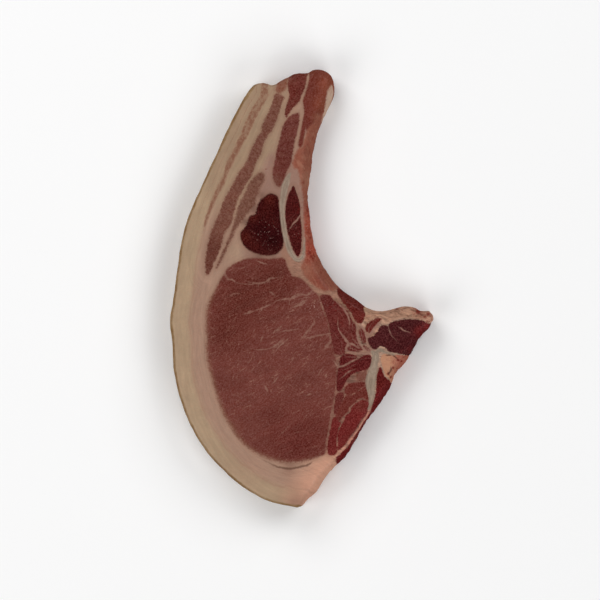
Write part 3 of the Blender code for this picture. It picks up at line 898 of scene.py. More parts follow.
class Graph:
    """Short names for the shader nodes that the finishes use."""

    def __init__(self, tree: bpy.types.NodeTree) -> None:
        """Args: tree: The node tree to fill."""
        self.tree = tree
        self.count = 0

    def node(self, kind: str, **settings: object) -> bpy.types.Node:
        """Add a node.

        Args:
            kind: Blender's name for it, such as "ShaderNodeMath".
            settings: Properties to set on it.

        Returns:
            The node.
        """
        made = self.tree.nodes.new(kind)
        made.location = (220.0 * (self.count % 12), -260.0 * (self.count // 12))
        self.count += 1
        for name, value in settings.items():
            setattr(made, name, value)
        return made

    def feed(self, socket: bpy.types.NodeSocket, value: object) -> None:
        """Link an output to a socket, or set the socket's own value."""
        if isinstance(value, bpy.types.NodeSocket):
            self.tree.links.new(value, socket)
        elif isinstance(value, np.ndarray):
            socket.default_value = (*(float(v) for v in value), 1.0)
        else:
            socket.default_value = value

    def calc(self, operation: str, *values: object) -> bpy.types.NodeSocket:
        """A Math node's result for up to three values."""
        made = self.node("ShaderNodeMath", operation=operation)
        for socket, value in zip(made.inputs, values):
            self.feed(socket, value)
        return made.outputs[0]

    def times(self, first: object, *others: object) -> bpy.types.NodeSocket:
        """Values multiplied together."""
        for other in others:
            first = self.calc("MULTIPLY", first, other)
        return first

    def ease(self, value: object, low: object, high: object, start: object = 0.0,
             end: object = 1.0) -> bpy.types.NodeSocket:
        """A value eased from start at low to end at high."""
        made = self.node("ShaderNodeMapRange", interpolation_type="SMOOTHSTEP", clamp=True)
        for socket, given in zip(made.inputs, (value, low, high, start, end)):
            self.feed(socket, given)
        return made.outputs[0]

    def blend(self, factor: object, first: object, second: object,
              mode: str = "MIX") -> bpy.types.NodeSocket:
        """Two colours mixed by a factor."""
        made = self.node("ShaderNodeMix", data_type="RGBA", blend_type=mode)
        self.feed(made.inputs[0], factor)
        self.feed(made.inputs[6], first)
        self.feed(made.inputs[7], second)
        return made.outputs[2]

    def cover(self, colour: object, mask: object, tone: object,
              strength: object) -> bpy.types.NodeSocket:
        """A tone laid over a colour where a mask shows, up to a strength."""
        return self.blend(self.times(mask, strength), colour, tone)

    def scaled(self, tone: bpy.types.NodeSocket, factor: object) -> bpy.types.NodeSocket:
        """A tone made brighter or darker by a factor."""
        made = self.node("ShaderNodeVectorMath", operation="SCALE")
        self.feed(made.inputs[0], tone)
        self.feed(made.inputs["Scale"], factor)
        return made.outputs[0]

    def attribute(self, name: str, output: str = "Fac") -> bpy.types.NodeSocket:
        """The piece's own attribute of that name."""
        return self.node("ShaderNodeAttribute", attribute_name=name).outputs[output]

    def place(self, scale: Sequence[float] = (1.0, 1.0, 1.0),
              turn: float = 0.0) -> bpy.types.NodeSocket:
        """Object coordinates in millimetres, turned about the vertical and stretched.

        Args:
            scale: Stretch along each turned axis.
            turn: Degrees to turn the pattern.

        Returns:
            The coordinates.
        """
        where = self.node("ShaderNodeTexCoord").outputs["Object"]
        turned = self.node("ShaderNodeMapping", vector_type="POINT")
        self.feed(turned.inputs["Vector"], where)
        turned.inputs["Rotation"].default_value = (0.0, 0.0, math.radians(-turn))
        sized = self.node("ShaderNodeMapping", vector_type="POINT")
        self.feed(sized.inputs["Vector"], turned.outputs[0])
        sized.inputs["Scale"].default_value = tuple(s / MM for s in scale)
        return sized.outputs[0]

    def lumps(self, where: object, scale: float, detail: float = 2.0,
              roughness: float = 0.5, warp: float = 0.0) -> bpy.types.NodeSocket:
        """A Noise texture's value from 0 to 1; scale is lumps for each millimetre."""
        made = self.node("ShaderNodeTexNoise")
        self.feed(made.inputs["Vector"], where)
        made.inputs["Scale"].default_value = scale
        made.inputs["Detail"].default_value = detail
        made.inputs["Roughness"].default_value = roughness
        made.inputs["Distortion"].default_value = warp
        return made.outputs["Fac"]

    def swing(self, where: object, scale: float, detail: float = 2.0,
              roughness: float = 0.5, warp: float = 0.0) -> bpy.types.NodeSocket:
        """The same texture's value, but from -0.5 to 0.5."""
        return self.calc("SUBTRACT", self.lumps(where, scale, detail, roughness, warp), 0.5)

    def group(self, shared: bpy.types.NodeTree, **values: object) -> bpy.types.Node:
        """Place a shared node group and feed its inputs by name."""
        made = self.node("ShaderNodeGroup", node_tree=shared)
        for name, value in values.items():
            self.feed(made.inputs[name.replace("_", " ").capitalize()], value)
        return made


class SharedEffects:
    """Node groups that several finishes use, each built once."""

    def __init__(self) -> None:
        """Build every group."""
        self.edge = self.soft_edge()
        self.line = self.thread_mask()
        self.marbling = self.fine_marbling()
        self.mottle = self.mottling()
        self.damp = self.damp_skin()
        self.layers = self.fat_layers()

    @staticmethod
    def start(name: str, inputs: dict[str, float], outputs: Sequence[str]
              ) -> tuple[Graph, bpy.types.bpy_prop_collection, bpy.types.bpy_prop_collection]:
        """Open a new group with number sockets.

        Args:
            name: The group's name.
            inputs: Default values of its inputs, by name.
            outputs: Names of its outputs.

        Returns:
            The graph, what its inputs give and what its outputs take.
        """
        tree = bpy.data.node_groups.new(name, "ShaderNodeTree")
        for label, value in inputs.items():
            made = tree.interface.new_socket(label, in_out="INPUT", socket_type="NodeSocketFloat")
            made.default_value = value
        for label in outputs:
            tree.interface.new_socket(label, in_out="OUTPUT", socket_type="NodeSocketFloat")
        graph = Graph(tree)
        return graph, graph.node("NodeGroupInput").outputs, graph.node("NodeGroupOutput").inputs

    def soft_edge(self) -> bpy.types.NodeTree:
        """Mask of what lies inside an edge, with a ragged, grainy, fading border."""
        graph, given, made = self.start(
            "soft_edge", {"Distance": 0.0, "Fade": 0.3, "Ragged": 0.8}, ("Mask",))
        coarse = graph.swing(graph.place(), 0.55, 2.0, 0.6)
        fine = graph.swing(graph.place(), 1.7, 2.0, 0.7)
        grainy = graph.calc("ADD", graph.times(coarse, 1.5), graph.times(fine, 1.8))
        moved = graph.calc("ADD", given["Distance"], graph.times(grainy, given["Ragged"]))
        graph.feed(made["Mask"], graph.ease(moved, graph.times(given["Fade"], -1.0), given["Fade"]))
        return graph.tree

    def thread_mask(self) -> bpy.types.NodeTree:
        """Mask of a broken, wavering thread from the distance to its middle and its width."""
        graph, given, made = self.start(
            "thread_mask", {"Side": FAR, "Half": 0.0, "Fade": 0.2}, ("Mask",))
        wobble = graph.swing(graph.place(), 0.7, 3.0, 0.65)
        shifted = graph.calc("ADD", given["Side"], graph.times(wobble, 1.1))
        thin = graph.swing(graph.place(), 0.9, 2.0, 0.6)
        half = graph.calc("ADD", given["Half"], graph.times(thin, 0.7))
        beyond = graph.calc("SUBTRACT", graph.calc("ABSOLUTE", shifted), half)
        mask = graph.ease(beyond, given["Fade"], graph.times(given["Fade"], -1.0))
        present = graph.ease(given["Half"], 0.02, 0.3)
        graph.feed(made["Mask"], graph.times(mask, present))
        return graph.tree

    def fine_marbling(self) -> bpy.types.NodeTree:
        """Flecks of fat finer than the drawn threads, the grain of the fibres, and painted
        highlights: tiny pale glints of the wet surface.
        """
        graph, _, made = self.start("fine_marbling", {}, ("Flecks", "Grain", "Fibre", "PaintedGlints"))
        flecks = 0.0
        for turn, scale, low in ((56.0, 0.27, 0.575), (27.0, 0.18, 0.57), (-34.0, 0.24, 0.61)):
            lumps = graph.lumps(graph.place((1.0, 4.6, 1.0), turn), scale, 3.0, 0.62, 0.5)
            flecks = graph.calc("MAXIMUM", flecks, graph.ease(lumps, low, low + 0.12))
        patches = graph.ease(graph.lumps(graph.place(), 0.1, 2.0), 0.36, 0.56)
        broken = graph.ease(graph.lumps(graph.place(), 1.1, 2.0, 0.6), 0.32, 0.6)
        grain = graph.lumps(graph.place(), 1.55, 2.0, 0.75)
        fibre = graph.lumps(graph.place((1.0, 2.3, 1.0), 48.0), 0.62, 3.0, 0.65)
        # mask of the painted highlights, tiny glints of the wet surface
        painted_glints = graph.lumps(graph.place(), 1.35, 1.0, 0.5)
        graph.feed(made["Flecks"], graph.times(flecks, patches, broken))
        graph.feed(made["Grain"], graph.ease(grain, 0.3, 0.78))
        graph.feed(made["Fibre"], graph.ease(fibre, 0.34, 0.72))
        graph.feed(made["PaintedGlints"], graph.ease(painted_glints, 0.63, 0.71))
        return graph.tree

    def mottling(self) -> bpy.types.NodeTree:
        """Uneven tone: a brightness factor round one, broad and fine together."""
        graph, given, made = self.start("mottling", {"Broad": 0.1, "Fine": 0.06}, ("Factor",))
        total = 1.0
        for name, scale in (("Broad", 0.13), ("Fine", 1.3)):
            lumps = graph.swing(graph.place(), scale, 3.0, 0.65)
            total = graph.calc("ADD", total, graph.times(lumps, given[name], 2.0))
        graph.feed(made["Factor"], total)
        return graph.tree

    def damp_skin(self) -> bpy.types.NodeTree:
        """A value that goes from that of dry patches to that of wet ones."""
        graph, given, made = self.start("damp_skin", {"Dry": 0.55, "Wet": 0.32}, ("Value",))
        patches = graph.lumps(graph.place(), 0.22, 3.0, 0.6)
        graph.feed(made["Value"], graph.ease(patches, 0.35, 0.62, given["Dry"], given["Wet"]))
        return graph.tree

    def fat_layers(self) -> bpy.types.NodeTree:
        """Faint lines that keep a distance from an edge, as the layers of fat do."""
        graph, given, made = self.start(
            "fat_layers", {"Distance": 0.0, "Fineness": 1.5}, ("Lines",))
        parts = graph.node("ShaderNodeSeparateXYZ")
        graph.feed(parts.inputs[0], graph.place((0.09, 0.09, 0.09)))
        across = graph.calc("ADD", graph.times(given["Distance"], given["Fineness"]),
                            parts.outputs[0])
        joined = graph.node("ShaderNodeCombineXYZ")
        for socket, value in zip(joined.inputs, (across, parts.outputs[1], parts.outputs[2])):
            graph.feed(socket, value)
        graph.feed(made["Lines"], graph.lumps(joined.outputs[0], 1.0, 3.0, 0.6, 0.3))
        return graph.tree

    def zone(self, graph: Graph, name: str, fade: object,
             ragged: object) -> bpy.types.NodeSocket:
        """Mask of what lies inside the edge that an attribute gives the distance to."""
        return graph.group(self.edge, distance=graph.attribute(name), fade=fade,
                           ragged=ragged).outputs[0]

    def stroke(self, graph: Graph, name: str, fade: float) -> bpy.types.NodeSocket:
        """Mask of the threads that a pair of attributes gives the side and half width of."""
        return graph.group(self.line, side=graph.attribute(name + "_side"),
                           half=graph.attribute(name + "_half"), fade=fade).outputs[0]

    def layered(self, graph: Graph, name: str, fineness: float) -> bpy.types.NodeSocket:
        """Faint lines along the edge that an attribute gives the distance to."""
        return graph.group(self.layers, distance=graph.attribute(name),
                           fineness=fineness).outputs[0]

    def dampened(self, graph: Graph, dry: float, wet: float) -> bpy.types.NodeSocket:
        """A value that changes between dry and wet patches."""
        return graph.group(self.damp, dry=dry, wet=wet).outputs[0]

    def mottled(self, graph: Graph, name: str, broad: float, fine: float,
                factor: object = 1.0) -> bpy.types.NodeSocket:
        """The tone that an attribute holds, mottled and made brighter by a factor."""
        mottle = graph.group(self.mottle, broad=broad, fine=fine).outputs[0]
        return graph.scaled(graph.attribute(name, "Color"), graph.times(mottle, factor))


@dataclass
class Looks:
    """What a finish hands to its shader, all of it changing over the surface.

    Attributes:
        colour: The base colour.
        roughness: Roughness under the wet film.
        height: Height of the fine bump.
        wet: How much of the wet film there is on a level face.
    """

    colour: bpy.types.NodeSocket
    roughness: bpy.types.NodeSocket
    height: bpy.types.NodeSocket
    wet: object


@dataclass(frozen=True)
class WetFinish:
    """A damp finish under a wet film, drawn from the attributes that a Slice carries.

    Attributes:
        name: The material's name.
        film: Roughness of the wet film.
        relief: Depth of the fine bump, in millimetres.
        glow: How much light scatters under the surface.
        bleed: How far red, green and blue scatter against each other.
    """

    name: str
    film: float
    relief: float
    glow: float
    bleed: tuple[float, float, float]

    def looks(self, graph: Graph, effects: SharedEffects) -> Looks:
        """Draw the tissue's looks, which each kind of finish does in its own way."""
        raise NotImplementedError

    def make(self, effects: SharedEffects) -> bpy.types.Material:
        """Build the material.

        Args:
            effects: The shared node groups.

        Returns:
            The material.
        """
        material = bpy.data.materials.new(self.name)
        material.use_nodes = True
        graph = Graph(material.node_tree)
        shader = material.node_tree.nodes["Principled BSDF"]
        looks = self.looks(graph, effects)
        bump = graph.node("ShaderNodeBump")
        graph.feed(bump.inputs["Strength"], BUMP_STRENGTH)
        graph.feed(bump.inputs["Distance"], self.relief * MM)
        graph.feed(bump.inputs["Height"], looks.height)
        settings = {
            "Base Color": looks.colour,
            "Roughness": looks.roughness,
            "Normal": bump.outputs[0],
            "Specular IOR Level": 0.0,
            "Coat IOR": FILM_IOR,
            "Coat Roughness": self.film,
            "Coat Weight": graph.times(looks.wet, graph.attribute("level")),
            "Subsurface Weight": self.glow,
            "Subsurface Radius": self.bleed,
            "Subsurface Scale": BLEED_REACH * MM,
        }
        for name, value in settings.items():
            graph.feed(shader.inputs[name], value)
        return material


@dataclass(frozen=True)
class FleshFinish(WetFinish):
    """Finish of cut flesh: lean, fat, silverskin, belly membrane and rind."""

    film: float = 0.26
    relief: float = 0.1
    glow: float = 0.04
    bleed: tuple[float, float, float] = (1.0, 0.35, 0.25)

    def looks(self, graph: Graph, effects: SharedEffects) -> Looks:
        """Lay the tissues over each other, from the fat up to the rind.

        Args:
            graph: The material's graph.
            effects: The shared node groups.

        Returns:
            The looks.
        """
        marbling = graph.group(effects.marbling).outputs
        lean = effects.zone(graph, "muscle", graph.attribute("blur"), graph.attribute("ragged"))
        thread = effects.stroke(graph, "thread", 0.3)
        silver = effects.zone(graph, "silver", 0.35, 0.45)
        membrane = effects.zone(graph, "membrane", 0.7, 0.9)
        waver = graph.times(graph.lumps(graph.place(), 0.35, 3.0, 0.6), 1.1)
        rind = graph.ease(graph.calc("ADD", graph.attribute("rind"), waver), 2.1, 1.35)
        colour = graph.blend(lean, self.fat_tone(graph, effects),
                             self.lean_tone(graph, effects, marbling))
        patchy = graph.ease(graph.lumps(graph.place(), 0.45, 2.0), 0.32, 0.65, 0.5, 0.95)
        in_eye = graph.ease(graph.attribute("marble"), 0.15, 0.75, 1.0, 0.72)
        colour = graph.cover(colour, thread, Tissue.THREAD.colour, graph.times(patchy, in_eye))
        colour = graph.cover(colour, silver, self.silver_tone(graph, effects), 0.92)
        colour = graph.blend(membrane, colour, self.veil_tone(graph, effects))
        colour = self.marked(graph, effects, marbling, colour)
        colour = graph.blend(rind, colour, self.rind_tone(graph))
        fibres = graph.calc("ADD", marbling["Grain"], marbling["Fibre"])
        pits = graph.times(graph.lumps(graph.place(), 1.2, 3.0, 0.6), 0.6)
        height = graph.calc("ADD", graph.times(fibres, lean, 0.35), pits)
        for mask, share in ((thread, 0.3), (silver, 0.4), (rind, 0.3)):
            height = graph.calc("ADD", height, graph.times(mask, share))
        return Looks(colour, self.dampness(graph, effects, lean, membrane, rind), height,
                     effects.dampened(graph, 0.14, 0.38))

    def dampness(self, graph: Graph, effects: SharedEffects, lean: bpy.types.NodeSocket,
                 membrane: bpy.types.NodeSocket, rind: bpy.types.NodeSocket
                 ) -> bpy.types.NodeSocket:
        """Roughness of the flesh: the lean wetter than the fat, the rind drier.

        Args:
            graph: The material's graph.
            effects: The shared node groups.
            lean: Mask of the lean.
            membrane: Mask of the belly membrane.
            rind: Mask of the rind.

        Returns:
            The roughness.
        """
        flesh = graph.node("ShaderNodeMix", data_type="FLOAT")
        graph.feed(flesh.inputs[0], lean)
        graph.feed(flesh.inputs[2], effects.dampened(graph, 0.48, 0.37))
        graph.feed(flesh.inputs[3], effects.dampened(graph, 0.36, 0.25))
        glossed = graph.calc("SUBTRACT", flesh.outputs[0], graph.times(membrane, 0.06))
        return graph.calc("ADD", glossed, graph.times(rind, 0.08))

    def marked(self, graph: Graph, effects: SharedEffects,
               marbling: bpy.types.bpy_prop_collection,
               colour: bpy.types.NodeSocket) -> bpy.types.NodeSocket:
        """Lay torn pale skin, painted highlights of tiny pale glints, blood and the crease's
        painted shade over a colour.

        Args:
            graph: The material's graph.
            effects: The shared node groups.
            marbling: Outputs of the fine marbling.
            colour: The colour so far.

        Returns:
            The marked colour.
        """
        torn = graph.ease(graph.lumps(graph.place((1.0, 1.0, 0.5)), 0.35, 4.0, 0.65), 0.3, 0.5,
                          0.45, 0.9)
        colour = graph.cover(colour, effects.stroke(graph, "skin", 0.5),
                             Tissue.MEMBRANE_WHITE.colour, torn)
        # Painted highlights: tiny pale glints of the wet surface laid into the colour
        painted_glints = graph.times(marbling["PaintedGlints"], graph.attribute("painted_glints"))
        colour = graph.cover(colour, painted_glints, Tissue.PAINTED_GLINT.colour, 0.8)
        clots = graph.ease(graph.lumps(graph.place(), 0.75, 3.0, 0.65), 0.5, 0.6)
        blood = graph.calc("MAXIMUM", effects.zone(graph, "blood", 0.35, 0.6),
                           graph.times(clots, graph.attribute("bloody")))
        colour = graph.cover(colour, blood, Tissue.BLOOD.colour, 0.7)
        # Painted shade: the crease darkened along its sunk groove
        return graph.cover(colour, effects.stroke(graph, "crease", 0.4), Tissue.SHADE_PAINTED_CREASE.colour, 0.7)

    def lean_tone(self, graph: Graph, effects: SharedEffects,
                  marbling: bpy.types.bpy_prop_collection) -> bpy.types.NodeSocket:
        """Colour of the lean with its grain, larding and finest fat.

        Args:
            graph: The material's graph.
            effects: The shared node groups.
            marbling: Outputs of the fine marbling.

        Returns:
            The colour.
        """
        bands = graph.lumps(graph.place((0.3, 1.0, 1.0), 24.0), 0.2, 2.0, 0.5, 0.6)
        tone = effects.mottled(graph, "lean_tone", 0.1, 0.06,
                               graph.ease(bands, 0.3, 0.7, 0.93, 1.07))
        pale = graph.attribute("pale")
        rest = graph.times(graph.calc("SUBTRACT", 1.0, pale), 1.5)
        speckle = graph.times(rest, graph.calc("SUBTRACT", marbling["Grain"], 0.42))
        tone = graph.scaled(tone, graph.calc("MAXIMUM", graph.calc("ADD", speckle, 1.0), 0.3))
        lit = graph.times(graph.calc("ADD", graph.times(marbling["Grain"], 0.5),
                                     graph.times(marbling["Fibre"], 0.2)), pale)
        tone = graph.blend(pale, tone, GRAIN_SHADE, "SUBTRACT")
        tone = graph.blend(lit, tone, GRAIN_LIGHT, "ADD")
        lard = graph.lumps(graph.place((1.0, 0.6, 1.0), 60.0), 1.0, 3.0, 0.7)
        tone = graph.cover(tone, graph.ease(lard, 0.42, 0.66), Tissue.LARD.colour,
                           graph.attribute("larded"))
        flecked = graph.times(marbling["Flecks"], graph.attribute("marble"))
        return graph.cover(tone, flecked, Tissue.FLECK.colour, pale)

    def fat_tone(self, graph: Graph, effects: SharedEffects) -> bpy.types.NodeSocket:
        """Colour of the fat: layers, mottling, the septum and the pale brown strand."""
        lines = effects.layered(graph, "rind", 0.55)
        contour = effects.layered(graph, "muscle", 1.3)
        layers = graph.times(graph.ease(lines, 0.3, 0.7, 0.94, 1.05),
                             graph.ease(contour, 0.3, 0.7, 0.95, 1.05))
        wisps = graph.swing(graph.place((0.4, 1.0, 1.0), -12.0), 0.7, 4.0, 0.68, 0.6)
        wispy = graph.times(wisps, graph.attribute("uneven"), 3.0)
        tone = effects.mottled(graph, "fat_tone", 0.07, 0.1,
                               graph.times(layers, graph.calc("ADD", wispy, 1.0)))
        stray = graph.times(graph.swing(graph.place((1.0, 0.4, 1.0)), 0.12, 3.0, 0.6), 5.0)
        depth = graph.calc("ADD", graph.attribute("rind"), stray)
        septum = graph.calc("ABSOLUTE", graph.calc("SUBTRACT", depth, SEPTUM_DEPTH))
        tone = graph.cover(tone, graph.ease(septum, 0.7, 0.1), Tissue.SEPTUM.colour, 0.35)
        broken = graph.ease(graph.lumps(graph.place((1.0, 0.7, 1.0), -25.0), 0.8, 3.0, 0.65),
                            0.34, 0.6, 0.4, 1.0)
        return graph.cover(tone, effects.stroke(graph, "strand", 0.6), Tissue.STRAND.colour,
                           broken)

    def silver_tone(self, graph: Graph, effects: SharedEffects) -> bpy.types.NodeSocket:
        """Colour of silverskin: grey, with fine lines along it."""
        lines = effects.layered(graph, "silver", 2.2)
        flaws = graph.lumps(graph.place((1.0, 0.5, 1.0)), 1.0, 4.0, 0.7)
        mixed = graph.times(graph.ease(lines, 0.36, 0.62), graph.ease(flaws, 0.34, 0.56, 0.3, 1.0))
        return graph.blend(mixed, Tissue.SILVER_DIM.colour, Tissue.SILVER.colour)

    def veil_tone(self, graph: Graph, effects: SharedEffects) -> bpy.types.NodeSocket:
        """Colour of the belly membrane: stained, streaked along the wall."""
        tone = effects.mottled(graph, "veil_tone", 0.2, 0.36)
        streaks = graph.lumps(graph.place((1.0, 0.3, 0.8), 32.0), 0.5, 4.0, 0.65, 0.4)
        tone = graph.blend(graph.ease(streaks, 0.5, 0.72, 0.0, 0.55), tone,
                           Tissue.MEMBRANE_PALE.colour)
        dark = graph.lumps(graph.place((1.0, 0.5, 0.8), -20.0), 0.7, 3.0, 0.65)
        return graph.blend(graph.ease(dark, 0.56, 0.7, 0.0, 0.45), tone,
                           Tissue.MEMBRANE_DARK.colour)

    def rind_tone(self, graph: Graph) -> bpy.types.NodeSocket:
        """Colour of the rind: brown skin with soft scuffs and small pores."""
        scuffs = graph.lumps(graph.place((1.0, 1.0, 0.5)), 0.16, 4.0, 0.6)
        tone = graph.blend(graph.ease(scuffs, 0.3, 0.75), Tissue.RIND.colour,
                           Tissue.RIND_PALE.colour)
        wrinkles = graph.lumps(graph.place((0.5, 0.5, 1.6)), 0.7, 3.0, 0.6)
        tone = graph.blend(graph.ease(wrinkles, 0.55, 0.75, 0.0, 0.3), tone,
                           Tissue.RIND_WRINKLE.colour)
        pores = graph.node("ShaderNodeTexVoronoi", feature="F1")
        graph.feed(pores.inputs["Vector"], graph.place())
        graph.feed(pores.inputs["Scale"], 0.4)
        holes = graph.ease(pores.outputs["Distance"], 0.13, 0.05, 0.0, 0.5)
        return graph.blend(holes, tone, Tissue.RIND_PORE.colour)


@dataclass(frozen=True)
class BoneFinish(WetFinish):
    """Finish of the sawn bone and cartilage."""

    film: float = 0.4
    relief: float = 0.25
    glow: float = 0.05
    bleed: tuple[float, float, float] = (1.0, 0.5, 0.35)

    def looks(self, graph: Graph, effects: SharedEffects) -> Looks:
        """Cream bone, spongy and bloody out to the sawn side.

        Args:
            graph: The material's graph.
            effects: The shared node groups.

        Returns:
            The looks.
        """
        spongy = graph.lumps(graph.place(), 0.8, 4.0, 0.7)
        colour = effects.mottled(graph, "fat_tone", 0.2, 0.2)
        colour = graph.cover(colour, graph.ease(spongy, 0.5, 0.68), Tissue.MARROW.colour,
                             graph.attribute("marrow"))
        flushed = graph.ease(graph.lumps(graph.place(), 0.5, 3.0, 0.6), 0.5, 0.7, 0.0, 0.5)
        colour = graph.blend(flushed, colour, Tissue.BONE_FLUSH.colour)
        silver = effects.zone(graph, "silver", 0.4, 0.6)
        colour = graph.blend(silver, colour, Tissue.SILVER.colour)
        blood = effects.zone(graph, "blood", 0.35, 0.7)
        colour = graph.cover(colour, blood, Tissue.BLOOD.colour, 0.85)
        # Painted shade: the cracks darkened along their sunk grooves
        crack = effects.stroke(graph, "crease", 0.3)
        colour = graph.cover(colour, crack, Tissue.SHADE_PAINTED_BONE_CRACK.colour, 0.85)
        return Looks(colour, effects.dampened(graph, 0.5, 0.38), spongy, 0.5)


@dataclass(frozen=True)
class Relief:
    """Depths of the relief of a slice, in millimetres.

    Attributes:
        waves: Broad unevenness.
        ripples: Middling unevenness.
        grain: The finest unevenness of a cut face.
        crown: How far a muscle stands up inside its edge.
        sheath: How far silverskin stands up.
        thread: How far a thread of fat stands up.
        crack: How deep a crease or crack is.
        folds: Folds in the membrane, down its side.
        crumbs: Crumbs of the sawn side.
        grit: The finest unevenness of the sawn side.
        scuffs: Unevenness of the rind.
        tuck: How far what runs under a neighbour lies below its surface.
        pressed: Share of the relief that is left on the face it lies on.
    """

    waves: float = 0.28
    ripples: float = 0.12
    grain: float = 0.04
    crown: float = 0.14
    sheath: float = 0.12
    thread: float = 0.04
    crack: float = 0.2
    folds: float = 0.4
    crumbs: float = 0.4
    grit: float = 0.42
    scuffs: float = 0.22
    tuck: float = 0.13
    pressed: float = 0.12


@dataclass
class Slice:
    """A fine mesh that takes the place of one CAD solid of the chop.

    Attributes:
        node: The CAD node, which the piece takes the place of and hides.
        piece_name: The new piece's name.
        grain: Spacing of its mesh, in millimetres.
        neighbours: Nodes that it grows out to meet.
        spread: How far it grows past the gap to them, in millimetres.
        tucked: Whether the part that grew lies a little below its neighbours' surface.
        cracks: Lines sunk into it, which its finish darkens with painted shade.
        depths: Depths of its relief.
    """

    node: str
    piece_name: str
    grain: float
    neighbours: tuple[str, ...]
    spread: float = 0.3
    tucked: bool = False
    cracks: tuple[Thread, ...] = (SHADE_PAINTED_CREASE,)
    depths: Relief = Relief()
    piece: bpy.types.Object = field(init=False)

    def build(self, frame: dict, finish: bpy.types.Material) -> bpy.types.Object:
        """Make the piece, dress it and tie it to the frame.

        Args:
            finish: The piece's material.

        Returns:
            The piece.
        """
        self.piece = self.remeshed(self.grown_copy(frame))
        self.dress()
        self.piece.data.materials.clear()
        self.piece.data.materials.append(finish)
        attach(self.piece, "root")
        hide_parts(self.node)
        log.info("%s: %d faces", self.piece_name, len(self.piece.data.polygons))
        return self.piece

    def grown_copy(self, frame: dict) -> bpy.types.Mesh:
        """Copy the CAD solid and push its inner walls out over the gap to its neighbours.


        Returns:
            The new mesh.
        """
        shape = bmesh.new()
        shape.from_mesh(frame["nodes"][self.node].data)
        bmesh.ops.remove_doubles(shape, verts=shape.verts[:], dist=SAME_PLACE * MM)
        for name in self.neighbours:
            other = bmesh.new()
            other.from_mesh(frame["nodes"][name].data)
            tree = BVHTree.FromBMesh(other)
            other.free()
            for vert in shape.verts:
                spot, _, _, gap = tree.find_nearest(vert.co)
                if spot is None or gap > TOUCHING * MM:
                    continue
                way = Vector((spot.x - vert.co.x, spot.y - vert.co.y, 0.0))
                if way.length > 2.0 * SAME_PLACE * MM:
                    vert.co += way.normalized() * self.spread * MM
        mesh = bpy.data.meshes.new(self.piece_name)
        shape.to_mesh(mesh)
        shape.free()
        return mesh

    def remeshed(self, mesh: bpy.types.Mesh) -> bpy.types.Object:
        """Turn the copy into an even, fine mesh with soft edges.

        Args:
            mesh: The grown copy.

        Returns:
            The new object, at the origin.
        """
        draft = bpy.data.objects.new(self.piece_name + "_draft", mesh)
        bpy.context.collection.objects.link(draft)
        step = draft.modifiers.new("even_grain", "REMESH")
        step.mode = "VOXEL"
        step.voxel_size = self.grain * MM
        graph = bpy.context.evaluated_depsgraph_get()
        fine = bpy.data.meshes.new_from_object(draft.evaluated_get(graph))
        bpy.data.objects.remove(draft, do_unlink=True)
        shape = bmesh.new()
        shape.from_mesh(fine)
        bmesh.ops.smooth_vert(shape, verts=shape.verts[:], factor=0.4, use_axis_x=True,
                              use_axis_y=True, use_axis_z=True)
        bmesh.ops.recalc_face_normals(shape, faces=shape.faces[:])
        for face in shape.faces:
            face.smooth = True
        shape.to_mesh(fine)
        shape.free()
        fine.name = self.piece_name
        piece = bpy.data.objects.new(self.piece_name, fine)
        bpy.context.collection.objects.link(piece)
        return piece

    def rows(self, name: str) -> np.ndarray:
        """Three values for each of the mesh's points, of its "co" or its "normal"."""
        values = np.empty(len(self.piece.data.vertices) * 3)
        self.piece.data.vertices.foreach_get(name, values)
        return values.reshape(-1, 3)

    def dress(self) -> None:
        """Give the mesh its relief and the attributes that its finish reads."""
        mesh = self.piece.data
        places = self.rows("co") / MM
        normals = self.rows("normal")
        plan = places[:, :2] - DRAWING_TO_FRAME
        upright = Drawing(plan)
        drift = np.column_stack([rough(places, DRIFT_LENGTH, seed) for seed in (61.0, 83.0)])
        drift *= DRIFT * eased(places[:, 2], 16.5, 3.0)[:, None]
        numbers, colours = self.tissues(Drawing(plan + drift), upright.away(RIND_LINE))
        numbers["level"] = 0.05 + 0.95 * eased(np.abs(normals[:, 2]), 0.5, 0.92)
        for name, values in numbers.items():
            layer = mesh.attributes.new(name, "FLOAT", "POINT")
            layer.data.foreach_set("value", np.clip(values, -FAR, 3.0 * FAR).astype(np.float32))
        for name, values in colours.items():
            layer = mesh.attributes.new(name, "FLOAT_COLOR", "POINT")
            with_alpha = np.column_stack((values, np.ones(len(values)))).astype(np.float32)
            layer.data.foreach_set("color", with_alpha.ravel())
        lift = self.relief(upright, places, normals, numbers)
        moved = (places + normals * lift[:, None]) * MM
        moved[:, 2] = np.maximum(moved[:, 2], 0.0)
        mesh.vertices.foreach_set("co", moved.ravel())
        mesh.update()

